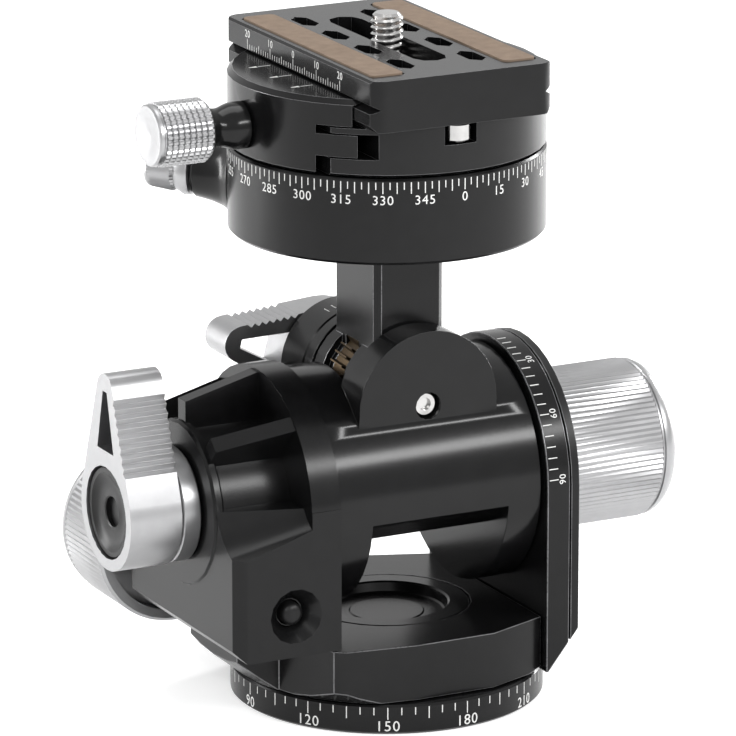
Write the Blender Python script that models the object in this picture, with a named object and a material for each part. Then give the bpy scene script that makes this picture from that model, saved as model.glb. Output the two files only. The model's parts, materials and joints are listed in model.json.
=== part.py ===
"""Geared tripod head: a pan base, a yoke with two worm-driven tilt axes, and a panning dovetail clamp.

The origin is the centre of the base's underside, on the pan axis. +Z is up, -Y is the front, and
+X points to the big knob of the second tilt axis. All lengths are in metres.
"""

import math

import bmesh
import bpy
from mathutils import Matrix, Vector

# Clearances and edges
GAP = 0.0003
CUT = 0.002
EDGE = 0.0005
WELD = 0.000001
MM = 1000
THREAD_OVERLAP = 0.0003
EDGE_ANGLE = 35.0

# Segments of round pieces
FINE = 40
ROUND = 24
SMALL = 14
TINY = 8

# Pan base
BASE_OVERHANG = 0.0088
BASE_HEIGHT = 0.006
BASE_SPINDLE_RADIUS = 0.0105
TRIPOD_THREAD_RADIUS = 0.00476
INSERT_WALL = 0.0022
INSERT_LENGTH = 0.0075
PAN_BOLT_RADIUS = 0.0024
PAN_BOLT_HEAD_RADIUS = 0.0044
PAN_BOLT_HEAD_HEIGHT = 0.0012
PAN_BOLT_LENGTH = 0.0036
RETAINER_OVERHANG = 0.0038
RETAINER_THICKNESS = 0.002

# Yoke floor
FLOOR_HEIGHT = 0.0112
CAP_RADIUS = 0.0164
CAP_THICKNESS = 0.0032
CAP_DISH_RADIUS = 0.012
CAP_DISH_DEPTH = 0.0022
FLOOR_HALF_DEPTH = 0.0282
WING_REACH = 0.038
WING_HALF_DEPTH = 0.0105
WING_ROOT_SHARE = 1.3
UNDERCUT_SLOPE = 0.8

# Gears, the same pair for both tilt axes
GEAR_TEETH = 40
GEAR_MODULE = 0.0006
GEAR_WIDTH = 0.005
TOOTH_SHARE = 0.38
TOOTH_HEIGHT = 0.0005
TOOTH_ROOT = 0.0008
WORM_PITCH_RADIUS = 0.006
WORM_LENGTH = 0.012
WORM_SHAFT_RADIUS = 0.004
WORM_BUSH_LENGTH = 0.007
LEFT_WORM_SETBACK = 0.0035

# First tilt axis, along X
BARREL_RADIUS = 0.0235
BARREL_HALF_WIDTH = 0.0222
UNDER_BARREL_GAP = 0.003
BARREL_FLAT_DROP = 0.0085
BARREL_FLAT_REACH = 0.014
BARREL_RECESS_DROP = 0.0014
BARREL_FLAT_HALF_WIDTH = 0.0148
UPRIGHT_RADIUS = 0.025
FLANGE_THICKNESS = 0.0062
UPRIGHT_THICKNESS = 0.005
COVER_THICKNESS = 0.0018
UPRIGHT_UNDERCUT_SLOPE = 1.25
TRUNNION_RADIUS = 0.0118
TRUNNION_WALL = 0.0026
LEFT_TRUNNION_RADIUS = 0.0102
HUB_LENGTH = 0.0165
HUB_RADIUS = 0.0152
HUB_PLATE_THICKNESS = 0.0022
HUB_PLATE_LIP = 0.0012
HUB_PLATE_PROUD = 0.0004
RIB_THICKNESS = 0.0032
RIB_END_RADIUS = 0.0205
RIB_ANGLES = (47.0, 90.0, 133.0)
SPINDLE_RADIUS = 0.003

# Housing block of the first worm
BLOCK_CHAMFER = 0.0022
BLOCK_UNDERCUT = 0.0026
SCOOP_OUT = 0.0035
SCOOP_RISE = 0.0065
SCOOP_BIG_RADIUS = 0.01405
SCOOP_SMALL_RADIUS = 0.0085
DIMPLE_RADIUS = 0.0055
DIMPLE_DEPTH = 0.0034
PLUG_RADIUS = 0.0023
PLUG_DOME_SHARE = 0.6
WORM_BOSS_RADIUS = 0.0095
WORM_BOSS_LENGTH = 0.0042

# Levers
COLLAR_RADIUS = 0.0113
COLLAR_LENGTH = 0.004
LEVER_HUB_RADIUS = 0.0115
LEVER_WIDTH = 0.0109
LEVER_ARM = 0.0241
LEVER_TIP_RADIUS = 0.0037
LEVER_CAP_RADIUS = 0.0089
LEVER_CAP_DEPTH = 0.0036
LEVER_CAP_HOLE = 0.003
LEVER_GROOVES = 8
LEVER_GROOVE_PITCH = 0.0019
LEVER_GROOVE_DEPTH = 0.0007
LEVER_WINDOW_WALL = 0.0018
REAR_LEVER_WIDTH = 0.0092
REAR_LEVER_ARM = 0.0217
REAR_LEVER_HUB_RADIUS = 0.0105
REAR_LEVER_CAP_RADIUS = 0.0079
REAR_LEVER_GROOVES = 7
REAR_LEVER_GROOVE_PITCH = 0.0016
REAR_LEVER_TILT = 14.0

# Knobs of the two worms
KNOB_SCREW_RADIUS = 0.0017
KNOB_SCREW_HEAD = 0.0032
KNOB_SCREW_HEAD_HEIGHT = 0.0022
KNOB_SCREW_LENGTH = 0.0085
RIGHT_KNOB_RADIUS = 0.016
RIGHT_KNOB_LENGTH = 0.0272
LEFT_KNOB_RADIUS = 0.0166
LEFT_KNOB_LENGTH = 0.0203
KNOB_CHAMFER = 0.0018
KNOB_RIM = 0.0024
KNOB_DISH = 0.0026
KNOB_SOCKET_SHARE = 0.55

# Second tilt axis, along Y
ARCH_RADIUS = 0.015
ARCH_FACE = 0.0178
ARCH_HOLE = 0.0027
REAR_ARCH_RADIUS = 0.0128
REAR_WALL = 0.003
SCALE_RING_WIDTH = 0.0098
POST_HALF_WIDTH = 0.0075
POST_FRONT = 0.0101
POST_REAR = 0.0082
POST_RISE = 0.0321
POST_CHAMFER = 0.0012
CHEEK_RADIUS = 0.0126
CHEEK_INSET = 0.0002
PIN_RADIUS = 0.0024
PIN_RECESS = 0.0015

# Panning drum
DRUM_RADIUS = 0.031
DRUM_HEIGHT = 0.0169
DRUM_FLOOR = 0.0056
BUSH_RADIUS = 0.013
BUSH_WALL = 0.0027
SPIGOT_CLEARANCE = 0.0026
DRUM_BOLT_RADIUS = 0.003
DRUM_BOLT_HEAD_RADIUS = 0.005
DRUM_BOLT_HEAD_HEIGHT = 0.002
DRUM_BOLT_LENGTH = 0.014
LOCK_ANGLE = 138.0
LOCK_BOSS_RADIUS = 0.0084
LOCK_BOSS_FLARE_SHARES = ((0.0, 1.0), (0.13, 1.0), (0.24, 0.7), (0.44, 0.4), (0.7, 0.17), (1.0, 0.0))
LOCK_BOSS_END_RADIUS = 0.0051
LOCK_BOSS_LENGTH = 0.0076
LOCK_COLLAR_RADIUS = 0.0049
LOCK_COLLAR_LENGTH = 0.0035
LOCK_KNOB_RADIUS = 0.0043
LOCK_KNOB_END_RADIUS = 0.0035
LOCK_KNOB_LENGTH = 0.0095
LOCK_SCREW_RADIUS = 0.0018

# Dovetail clamp
CLAMP_HEIGHT = 0.0149
CHANNEL_DEPTH = 0.0052
JAW_DEPTH = 0.0083
JAW_OPENING = 0.002
TONGUE_LENGTH = 0.0039
TONGUE_POCKET = 0.0073
TONGUE_LOW = 0.0037
TONGUE_HIGH = 0.008
TONGUE_DEPTH = 0.0165
CLAMP_SCREW_RADIUS = 0.003
CLAMP_SCREW_REACH = 0.012
CLAMP_SCREW_DROP = 0.0086
NECK_RADIUS = 0.0046
NECK_WAIST = 0.0031
NECK_LENGTH = 0.0078
CLAMP_KNOB_RADIUS = 0.0063
CLAMP_KNOB_LENGTH = 0.0118
GUIDE_PIN_RADIUS = 0.0015
GUIDE_PIN_SEAT = 0.0028
GUIDE_PIN_REACH = 0.0105
GUIDE_PIN_PLACE = 0.010
SPRING_WIRE = 0.0003
SPRING_RADIUS = 0.0024
SPRING_LENGTH = 0.006
SPRING_TURNS = 4
STOP_SLOT_HALF_WIDTH = 0.0034
STOP_SLOT_DEPTH = 0.0039

# Camera plate
PLATE_HALF_WIDTH = 0.0193
PLATE_HALF_LENGTH = 0.0323
PLATE_THICKNESS = 0.010
PLATE_CORNER = 0.0036
GROOVE_CENTRE = 0.0044
GROOVE_HALF_HEIGHT = 0.0009
GROOVE_DEPTH = 0.0018
PLATE_FOOT_CHAMFER = 0.0012
PLATE_SLOT_HALF_WIDTH = 0.0034
PLATE_SLOT_HALF_LENGTH = 0.021
SIDE_SLOT_HALF_WIDTH = 0.0018
SIDE_SLOT_LENGTH = 0.009
SIDE_SLOT_PLACE = 0.0076
SIDE_SLOT_SHARES = (-0.63, -0.215, 0.215, 0.63)
STRIP_WIDTH = 0.0074
STRIP_CORNER = 0.0012
STRIP_MARGIN = 0.0015
STRIP_DEPTH = 0.0006
STRIP_PROUD = 0.0003
STRIP_END_MARGIN = 0.0038
STOP_SCREW_RADIUS = 0.0027
STOP_SCREW_HEIGHT = 0.0034
STOP_SCREW_STEM = 0.0016
STOP_SCREW_STEM_LENGTH = 0.004
STOP_SCREW_INSET = 0.0035
PLATE_TRAVEL = 0.008
CAMERA_SCREW_RADIUS = 0.003175
CAMERA_SCREW_RISE = 0.0052
CAMERA_SCREW_FLANGE = 0.0056
CAMERA_SCREW_FLANGE_HEIGHT = 0.0024
CAMERA_SCREW_PITCH = 0.00127
CAMERA_SCREW_THREAD = 0.0004

# Heights of the stack
BASE_RADIUS = BARREL_HALF_WIDTH + BASE_OVERHANG
FLOOR_Z = BASE_HEIGHT + GAP
FLOOR_TOP = FLOOR_Z + FLOOR_HEIGHT
TILT_Z = FLOOR_TOP + UNDER_BARREL_GAP + BARREL_RADIUS
WHEEL_RADIUS = GEAR_TEETH * GEAR_MODULE / 2
CENTRES = WHEEL_RADIUS + WORM_PITCH_RADIUS
WHEEL_TIP = WHEEL_RADIUS + TOOTH_HEIGHT
WORM_TIP = WORM_PITCH_RADIUS + TOOTH_HEIGHT
WORM_BORE = WORM_TIP + GAP + GAP
LEAD = math.pi * GEAR_MODULE
ROLL_Z = TILT_Z + CENTRES
WHEEL_HUB_RADIUS = CENTRES - WORM_TIP - GAP
DRUM_Z = ROLL_Z + POST_RISE
DRUM_TOP = DRUM_Z + DRUM_HEIGHT
LOCK_BOSS_REACH = DRUM_RADIUS + LOCK_BOSS_LENGTH
JAW_SPLIT = DRUM_RADIUS - JAW_DEPTH
CLAMP_Z = DRUM_TOP + GAP
CLAMP_TOP = CLAMP_Z + CLAMP_HEIGHT
PLATE_Z = CLAMP_TOP - CHANNEL_DEPTH + GAP
PLATE_TOP = PLATE_Z + PLATE_THICKNESS

# Places along X
UPRIGHT_X = BARREL_HALF_WIDTH + GAP
FLANGE_X = -UPRIGHT_X - FLANGE_THICKNESS
LEFT_WORM_X = FLANGE_X - LEFT_WORM_SETBACK
WHEEL_FACE_X = LEFT_WORM_X + GEAR_WIDTH / 2 + GAP
HUB_X = FLANGE_X - HUB_LENGTH
COVER_X = UPRIGHT_X + UPRIGHT_THICKNESS + GAP
COVER_END = COVER_X + COVER_THICKNESS
LEFT_WORM_Z = TILT_Z - CENTRES

# Frames that map (across, up, along) to the world
ALONG_X = Matrix(((0, 0, 1, 0), (1, 0, 0, 0), (0, 1, 0, 0), (0, 0, 0, 1)))
ALONG_Y = Matrix(((1, 0, 0, 0), (0, 0, 1, 0), (0, 1, 0, 0), (0, 0, 0, 1)))
ALONG_Z = Matrix.Identity(4)

FINISHES = {
    "black_anodised": ((0.018, 0.018, 0.019, 1.0), 0.38, 0.75),
    "black_satin": ((0.03, 0.03, 0.032, 1.0), 0.5, 0.5),
    "silver_anodised": ((0.72, 0.73, 0.74, 1.0), 0.28, 1.0),
    "steel": ((0.56, 0.57, 0.58, 1.0), 0.25, 1.0),
    "brass": ((0.62, 0.44, 0.18, 1.0), 0.3, 1.0),
    "polymer": ((0.05, 0.05, 0.055, 1.0), 0.6, 0.0),
    "cork_rubber": ((0.24, 0.18, 0.14, 1.0), 0.85, 0.0),
}


def clear_scene():
    for obj in list(bpy.data.objects):
        bpy.data.objects.remove(obj, do_unlink=True)


def finish_material(finish):
    """The material of a finish, made once."""
    if finish in bpy.data.materials:
        return bpy.data.materials[finish]
    colour, roughness, metallic = FINISHES[finish]
    material = bpy.data.materials.new(finish)
    material.use_nodes = True
    shader = material.node_tree.nodes["Principled BSDF"]
    shader.inputs["Base Color"].default_value = colour
    shader.inputs["Roughness"].default_value = roughness
    shader.inputs["Metallic"].default_value = metallic
    material.diffuse_color = colour
    return material


def solid(bm):
    """Closes a bmesh into a linked object with its faces pointing outwards."""
    bmesh.ops.remove_doubles(bm, verts=bm.verts, dist=WELD)
    bmesh.ops.dissolve_degenerate(bm, edges=bm.edges, dist=WELD)
    bmesh.ops.recalc_face_normals(bm, faces=bm.faces)
    mesh = bpy.data.meshes.new("solid")
    bm.to_mesh(mesh)
    bm.free()
    obj = bpy.data.objects.new("solid", mesh)
    bpy.context.scene.collection.objects.link(obj)
    return obj


def turned(frame, centre, profile, steps):
    """Revolves (radius, along) points about the frame's axis through centre (across, up)."""
    bm = bmesh.new()
    across, up = centre
    verts = [bm.verts.new(frame @ Vector((across + r, up, along))) for r, along in profile]
    edges = [bm.edges.new(pair) for pair in zip(verts, verts[1:])]
    if min(profile[0][0], profile[-1][0]) > WELD:
        edges.append(bm.edges.new((verts[-1], verts[0])))
    middle = frame @ Vector((across, up, 0))
    axis = frame.to_3x3() @ Vector((0, 0, 1))
    bmesh.ops.spin(bm, geom=verts + edges, cent=middle, axis=axis, angle=math.tau, steps=steps)
    return solid(bm)


def rod(frame, centre, radius, low, high, steps=SMALL, edge=0.0):
    """A round bar with broken edges."""
    profile = [(0, low), (radius - edge, low), (radius, low + edge), (radius, high - edge)]
    profile += [(radius - edge, high), (0, high)]
    return turned(frame, centre, profile, steps)


def ring(frame, centre, inner, outer, low, high, steps=ROUND, edge=0.0):
    """A round ring with broken outer edges."""
    profile = [(inner, low), (outer - edge, low), (outer, low + edge), (outer, high - edge)]
    profile += [(outer - edge, high), (inner, high)]
    return turned(frame, centre, profile, steps)


def extruded(frame, outline, low, high, twist=0.0, centre=(0, 0)):
    """Extrudes an outline of (across, up) points, turned by twist from end to end."""
    bm = bmesh.new()
    ends = []
    for along, turn in ((low, -twist / 2), (high, twist / 2)):
        row = []
        for across, up in outline:
            a, b = across - centre[0], up - centre[1]
            c, s = math.cos(turn), math.sin(turn)
            spot = Vector((centre[0] + a * c - b * s, centre[1] + a * s + b * c, along))
            row.append(bm.verts.new(frame @ spot))
        ends.append(row)
    bm.faces.new(ends[0])
    bm.faces.new(ends[1])
    count = len(outline)
    for i in range(count):
        j = (i + 1) % count
        bm.faces.new((ends[0][i], ends[0][j], ends[1][j], ends[1][i]))
    return solid(bm)


def block(low, high):
    """A box between two corners."""
    outline = [(low[0], low[1]), (high[0], low[1]), (high[0], high[1]), (low[0], high[1])]
    return extruded(ALONG_Z, outline, low[2], high[2])


def helix_rows(frame, centre, section, lead, turns, start, phase, steps):
    """The points of a section of (radius, along) points at each step of a helix."""
    rows = []
    for i in range(round(turns * steps) + 1):
        angle = phase + math.tau * i / steps
        row = []
        for radius, along in section:
            across = centre[0] + radius * math.cos(angle)
            up = centre[1] + radius * math.sin(angle)
            row.append(frame @ Vector((across, up, start + along + lead * i / steps)))
        rows.append(row)
    return rows


def least_gap(rows, steps):
    """The least distance between points of one turn and of the next ones."""
    least = math.inf
    for i, row in enumerate(rows):
        for after in rows[i + steps // 2 :]:
            least = min(least, *[(a - b).length for a in row for b in after])
    return least


def swept(point_rows):
    """A closed tube through rows of section points."""
    bm = bmesh.new()
    rows = [[bm.verts.new(spot) for spot in row] for row in point_rows]
    bm.faces.new(rows[0])
    bm.faces.new(rows[-1])
    count = len(rows[0])
    for row, after in zip(rows, rows[1:]):
        for i in range(count):
            j = (i + 1) % count
            bm.faces.new((row[i], row[j], after[j], after[i]))
    return solid(bm)


def boolean(target, tools, operation):
    """Applies each tool to the target and deletes the tool."""
    for tool in tools:
        modifier = target.modifiers.new(operation.lower(), "BOOLEAN")
        modifier.operation = operation
        modifier.solver = "MANIFOLD"
        modifier.object = tool
        graph = bpy.context.evaluated_depsgraph_get()
        mesh = bpy.data.meshes.new_from_object(target.evaluated_get(graph))
        target.modifiers.remove(modifier)
        old = target.data
        target.data = mesh
        bpy.data.meshes.remove(old)
        bpy.data.objects.remove(tool, do_unlink=True)
    return target


def cut(target, *tools):
    return boolean(target, tools, "DIFFERENCE")


def joined(target, *tools):
    return boolean(target, tools, "UNION")


def piece(obj, name, finish, pivot=(0, 0, 0)):
    """Names a finished piece, gives it its finish and puts its origin on its joint's axis."""
    obj.name = name
    obj.data.name = name
    obj.data.materials.clear()
    obj.data.materials.append(finish_material(finish))
    obj.data.transform(Matrix.Translation(-Vector(pivot)))
    obj.location = pivot
    obj.data.shade_smooth()
    obj.data.set_sharp_from_angle(angle=math.radians(EDGE_ANGLE))
    return obj


def arc(centre, radius, first, last, count):
    """Points on an arc, in degrees."""
    points = []
    for i in range(count + 1):
        angle = math.radians(first + (last - first) * i / count)
        points.append((centre[0] + radius * math.cos(angle), centre[1] + radius * math.sin(angle)))
    return points


def arch_outline(radius, centre_up, bottom, steps=FINE // 2):
    """A round-topped upright: half circle above, straight sides down to the bottom."""
    return arc((0, centre_up), radius, 0, 180, steps) + [(-radius, bottom), (radius, bottom)]


def rounded_rectangle(half_width, half_height, corner, steps=5):
    outline = []
    for x, y, first in ((1, 1, 0), (-1, 1, 90), (-1, -1, 180), (1, -1, 270)):
        centre = (x * (half_width - corner), y * (half_height - corner))
        outline += arc(centre, corner, first, first + 90, steps)
    return outline


def slot_outline(half_width, half_length, steps=TINY // 2):
    """A slot with round ends that runs along the second coordinate."""
    straight = half_length - half_width
    return arc((0, straight), half_width, 0, 180, steps) + arc((0, -straight), half_width, 180, 360, steps)


def shifted(outline, across, up):
    return [(a + across, b + up) for a, b in outline]


def worm_wheel(frame, centre, low, bore):
    """A wheel whose teeth are twisted to the worm's lead."""
    pitch_angle = 360 / GEAR_TEETH
    half = pitch_angle * TOOTH_SHARE / 2
    root = WHEEL_RADIUS - TOOTH_ROOT
    outline = []
    for i in range(GEAR_TEETH):
        middle = i * pitch_angle
        flank = half * WHEEL_RADIUS / root
        outline += arc(centre, root, middle - flank, middle - flank, 1)[:1]
        outline += arc(centre, WHEEL_TIP, middle - half * TOOTH_SHARE, middle + half * TOOTH_SHARE, 1)
        outline += arc(centre, root, middle + flank, middle + flank, 1)[:1]
    twist = -LEAD / (math.tau * WORM_PITCH_RADIUS) / WHEEL_RADIUS * GEAR_WIDTH
    wheel = extruded(frame, outline, low, low + GEAR_WIDTH, twist, centre)
    hole = rod(frame, centre, bore, low - CUT, low + GEAR_WIDTH + CUT)
    return cut(wheel, hole)


def worm(frame, centre, middle, shaft_end):
    """A worm with its shaft: the thread's gap faces the wheel above it at the middle."""
    root = WORM_PITCH_RADIUS - TOOTH_ROOT
    half = LEAD * TOOTH_SHARE / 2
    section = [(root - THREAD_OVERLAP, -half - THREAD_OVERLAP), (WORM_TIP, -half * TOOTH_SHARE)]
    section += [(WORM_TIP, half * TOOTH_SHARE), (root - THREAD_OVERLAP, half + THREAD_OVERLAP)]
    turns = round(WORM_LENGTH / LEAD) - 1
    start = middle - turns * LEAD / 2 + LEAD / 2 * ((turns + 1) % 2)
    share_of_turn = 1 / (TINY * 3)
    phase = math.pi / 2 + math.tau * share_of_turn
    start += LEAD * share_of_turn
    thread = swept(helix_rows(frame, centre, section, LEAD, turns, start, phase, TINY + 2))
    low = middle - WORM_LENGTH / 2
    high = middle + WORM_LENGTH / 2
    profile = [(0, low), (root - EDGE, low), (root, low + EDGE), (root, high)]
    profile += [(WORM_SHAFT_RADIUS, high + root - WORM_SHAFT_RADIUS)]
    profile += [(WORM_SHAFT_RADIUS, shaft_end), (0, shaft_end)]
    return joined(turned(frame, centre, profile, SMALL), thread)


def make_base():
    spindle_top = FLOOR_TOP - CAP_THICKNESS - GAP - RETAINER_THICKNESS - GAP - GAP
    insert_radius = TRIPOD_THREAD_RADIUS + INSERT_WALL
    profile = [(insert_radius + GAP, 0), (BASE_RADIUS - EDGE, 0), (BASE_RADIUS, EDGE)]
    profile += [(BASE_RADIUS, BASE_HEIGHT - EDGE), (BASE_RADIUS - EDGE, BASE_HEIGHT)]
    profile += [(BASE_SPINDLE_RADIUS, BASE_HEIGHT), (BASE_SPINDLE_RADIUS, spindle_top)]
    profile += [(PAN_BOLT_RADIUS + GAP, spindle_top), (PAN_BOLT_RADIUS + GAP, INSERT_LENGTH + GAP)]
    profile += [(insert_radius + GAP, INSERT_LENGTH + GAP)]
    piece(turned(ALONG_Z, (0, 0), profile, FINE), "base_ring", "black_anodised")

    insert = ring(ALONG_Z, (0, 0), TRIPOD_THREAD_RADIUS, insert_radius, 0, INSERT_LENGTH, ROUND)
    piece(insert, "tripod_thread_insert", "steel")

    low = spindle_top + GAP
    top = low + RETAINER_THICKNESS
    head_low = top - PAN_BOLT_HEAD_HEIGHT
    bolt_hole = PAN_BOLT_RADIUS + GAP
    head_hole = PAN_BOLT_HEAD_RADIUS + GAP
    retainer_radius = BASE_SPINDLE_RADIUS + RETAINER_OVERHANG
    profile = [(bolt_hole, low), (retainer_radius, low), (retainer_radius, top), (head_hole, top)]
    profile += [(head_hole, head_low - GAP), (bolt_hole, head_low - GAP)]
    piece(turned(ALONG_Z, (0, 0), profile, ROUND), "pan_retainer", "steel")

    tip = top - PAN_BOLT_LENGTH
    profile = [(0, tip), (PAN_BOLT_RADIUS, tip), (PAN_BOLT_RADIUS, head_low)]
    profile += [(PAN_BOLT_HEAD_RADIUS, head_low), (PAN_BOLT_HEAD_RADIUS, top), (0, top)]
    piece(turned(ALONG_Z, (0, 0), profile, SMALL), "pan_bolt", "steel")


def floor_outline():
    """The plan of the yoke's floor: five front facets, the same behind, and the wing on the left."""
    front = FLOOR_HALF_DEPTH
    right = BARREL_HALF_WIDTH
    corner_shares = ((1.0, 0.82), (0.41, 1.0), (-0.35, 1.0), (-0.98, 0.925), (-1.08, 0.87))
    facets = [(right * a, front * b) for a, b in corner_shares]
    wing = [(-WING_REACH, WING_HALF_DEPTH), (-WING_REACH, -WING_HALF_DEPTH)]
    rear_root = (-right * WING_ROOT_SHARE, WING_HALF_DEPTH)
    front_root = (-right * WING_ROOT_SHARE, -WING_HALF_DEPTH)
    return facets + [rear_root] + wing + [front_root] + [(a, -b) for a, b in reversed(facets)]


def make_floor():
    floor = extruded(ALONG_Z, floor_outline(), FLOOR_Z, FLOOR_TOP)
    reach = WING_REACH + BASE_RADIUS
    rise = (reach - BASE_RADIUS) * UNDERCUT_SLOPE
    profile = [(BASE_RADIUS, FLOOR_Z - CUT), (reach, FLOOR_Z - CUT), (reach, FLOOR_Z + rise)]
    profile += [(BASE_RADIUS, FLOOR_Z)]
    chamber_radius = BASE_SPINDLE_RADIUS + RETAINER_OVERHANG + GAP
    cap_seat = FLOOR_TOP - CAP_THICKNESS - GAP
    chamber_low = cap_seat - RETAINER_THICKNESS - GAP - GAP
    bore = rod(ALONG_Z, (0, 0), BASE_SPINDLE_RADIUS + GAP, FLOOR_Z - CUT, FLOOR_TOP, ROUND)
    chamber = rod(ALONG_Z, (0, 0), chamber_radius, chamber_low - GAP, FLOOR_TOP, ROUND)
    seat = rod(ALONG_Z, (0, 0), CAP_RADIUS + GAP, cap_seat, FLOOR_TOP + CUT, ROUND)
    cut(floor, turned(ALONG_Z, (0, 0), profile, FINE), bore, chamber, seat)
    piece(floor, "yoke_floor", "black_anodised")

    dish = FLOOR_TOP - CAP_DISH_DEPTH
    low = FLOOR_TOP - CAP_THICKNESS
    profile = [(0, low), (CAP_RADIUS, low), (CAP_RADIUS, FLOOR_TOP), (CAP_DISH_RADIUS, FLOOR_TOP)]
    profile += [(CAP_DISH_RADIUS - EDGE, dish), (0, dish)]
    piece(turned(ALONG_Z, (0, 0), profile, ROUND), "floor_cap", "black_satin")


def rib(angle):
    """A web from the flange down to the hub's end plate, at an angle about the tilt axis."""
    end = HUB_X + HUB_PLATE_PROUD * 2
    outline = [(FLANGE_X + CUT, HUB_RADIUS - CUT), (FLANGE_X + CUT, UPRIGHT_RADIUS - EDGE)]
    outline += [(FLANGE_X, UPRIGHT_RADIUS - EDGE), (end, RIB_END_RADIUS), (end, HUB_RADIUS - CUT)]
    lean = math.radians(angle)
    frame = Matrix.Translation((0, 0, TILT_Z)) @ Matrix.Rotation(lean, 4, "X")
    return extruded(frame, outline, -RIB_THICKNESS / 2, RIB_THICKNESS / 2)


def scoop(side):
    """The conical hollow between the worm block and the hub, in front (side -1) or behind."""
    centre = (side * (UPRIGHT_RADIUS + SCOOP_OUT), TILT_Z + SCOOP_RISE)
    profile = [(0, HUB_X - CUT), (SCOOP_BIG_RADIUS, HUB_X - CUT), (SCOOP_SMALL_RADIUS, FLANGE_X)]
    profile += [(0, FLANGE_X)]
    return turned(ALONG_X, centre, profile, ROUND)


def make_left_housing():
    low = FLOOR_TOP + GAP
    axis = (0, TILT_Z)
    arch_low = TILT_Z - BLOCK_CHAMFER
    housing = extruded(ALONG_X, arch_outline(UPRIGHT_RADIUS, TILT_Z, arch_low), FLANGE_X, -UPRIGHT_X)
    side = HUB_X + HUB_PLATE_PROUD
    front = UPRIGHT_RADIUS
    outline = [(side, -front + BLOCK_CHAMFER), (side + BLOCK_CHAMFER, -front)]
    outline += [(-UPRIGHT_X, -front), (-UPRIGHT_X, front)]
    outline += [(side + BLOCK_CHAMFER, front), (side, front - BLOCK_CHAMFER)]
    worm_block = extruded(ALONG_Z, outline, low, TILT_Z + BLOCK_CHAMFER)
    hub = rod(ALONG_X, axis, HUB_RADIUS, side + HUB_PLATE_PROUD * 2, FLANGE_X + CUT, ROUND)
    plate_radius = HUB_RADIUS + HUB_PLATE_LIP
    plate = rod(ALONG_X, axis, plate_radius, HUB_X, HUB_X + HUB_PLATE_THICKNESS, ROUND, EDGE)
    cut(worm_block, scoop(-1), scoop(1))
    worm_centre = (LEFT_WORM_X, LEFT_WORM_Z)
    boss_end = UPRIGHT_RADIUS + WORM_BOSS_LENGTH
    boss = rod(ALONG_Y, worm_centre, WORM_BOSS_RADIUS, UPRIGHT_RADIUS - CUT, boss_end, ROUND)
    joined(housing, worm_block, hub, plate, boss, *[rib(angle) for angle in RIB_ANGLES])

    end = (WHEEL_TIP + GAP + GAP, LEFT_WORM_X - GEAR_WIDTH / 2 - GAP)
    wheel_bore = rod(ALONG_X, axis, end[0], end[1], -UPRIGHT_X + CUT, ROUND)
    spindle_bore = rod(ALONG_X, axis, SPINDLE_RADIUS + GAP, HUB_X - CUT, end[1] + CUT)
    worm_front = -WORM_LENGTH / 2 - WORM_PITCH_RADIUS
    worm_bore = rod(ALONG_Y, worm_centre, WORM_BORE, worm_front, boss_end + CUT)
    dimple = [(0, -UPRIGHT_RADIUS - CUT), (DIMPLE_RADIUS, -UPRIGHT_RADIUS - CUT)]
    dimple += [(DIMPLE_RADIUS, -UPRIGHT_RADIUS), (PLUG_RADIUS + EDGE, -UPRIGHT_RADIUS + DIMPLE_DEPTH)]
    dimple += [(0, -UPRIGHT_RADIUS + DIMPLE_DEPTH)]
    plug_hole = rod(ALONG_Y, worm_centre, PLUG_RADIUS + GAP, -UPRIGHT_RADIUS, worm_front + CUT)
    undercut = [(HUB_X - CUT, low - CUT), (HUB_X + BLOCK_UNDERCUT, low - CUT)]
    undercut += [(HUB_X + BLOCK_UNDERCUT, low), (HUB_X, low + BLOCK_UNDERCUT)]
    undercut += [(HUB_X - CUT, low + BLOCK_UNDERCUT)]
    corner = extruded(ALONG_Y, undercut, -UPRIGHT_RADIUS - CUT, UPRIGHT_RADIUS + CUT)
    hollow = turned(ALONG_Y, worm_centre, dimple, SMALL)
    cut(housing, wheel_bore, spindle_bore, worm_bore, hollow, plug_hole, corner)
    piece(housing, "left_housing", "black_anodised")

    dome_low = -UPRIGHT_RADIUS + DIMPLE_DEPTH / 3
    dome = [(0, dome_low), (PLUG_RADIUS * PLUG_DOME_SHARE, dome_low + EDGE / 2)]
    dome += [(PLUG_RADIUS, dome_low + PLUG_RADIUS / 2), (PLUG_RADIUS, worm_front), (0, worm_front)]
    piece(turned(ALONG_Y, worm_centre, dome, TINY), "worm_end_plug", "black_satin")

    outer = WHEEL_TIP + GAP
    bush = ring(ALONG_X, axis, LEFT_TRUNNION_RADIUS + GAP, outer, FLANGE_X, -UPRIGHT_X, ROUND)
    piece(bush, "left_trunnion_bush", "brass")
    low = boss_end - WORM_BUSH_LENGTH
    inner = WORM_SHAFT_RADIUS + GAP
    bush = ring(ALONG_Y, worm_centre, inner, WORM_BORE - GAP, low, boss_end, SMALL)
    piece(bush, "left_worm_bush", "brass")

    collar_low = HUB_X - GAP - COLLAR_LENGTH
    inner = SPINDLE_RADIUS + GAP
    collar = ring(ALONG_X, axis, inner, COLLAR_RADIUS, collar_low, HUB_X - GAP, ROUND, EDGE)
    piece(collar, "lever_collar", "silver_anodised")


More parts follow.
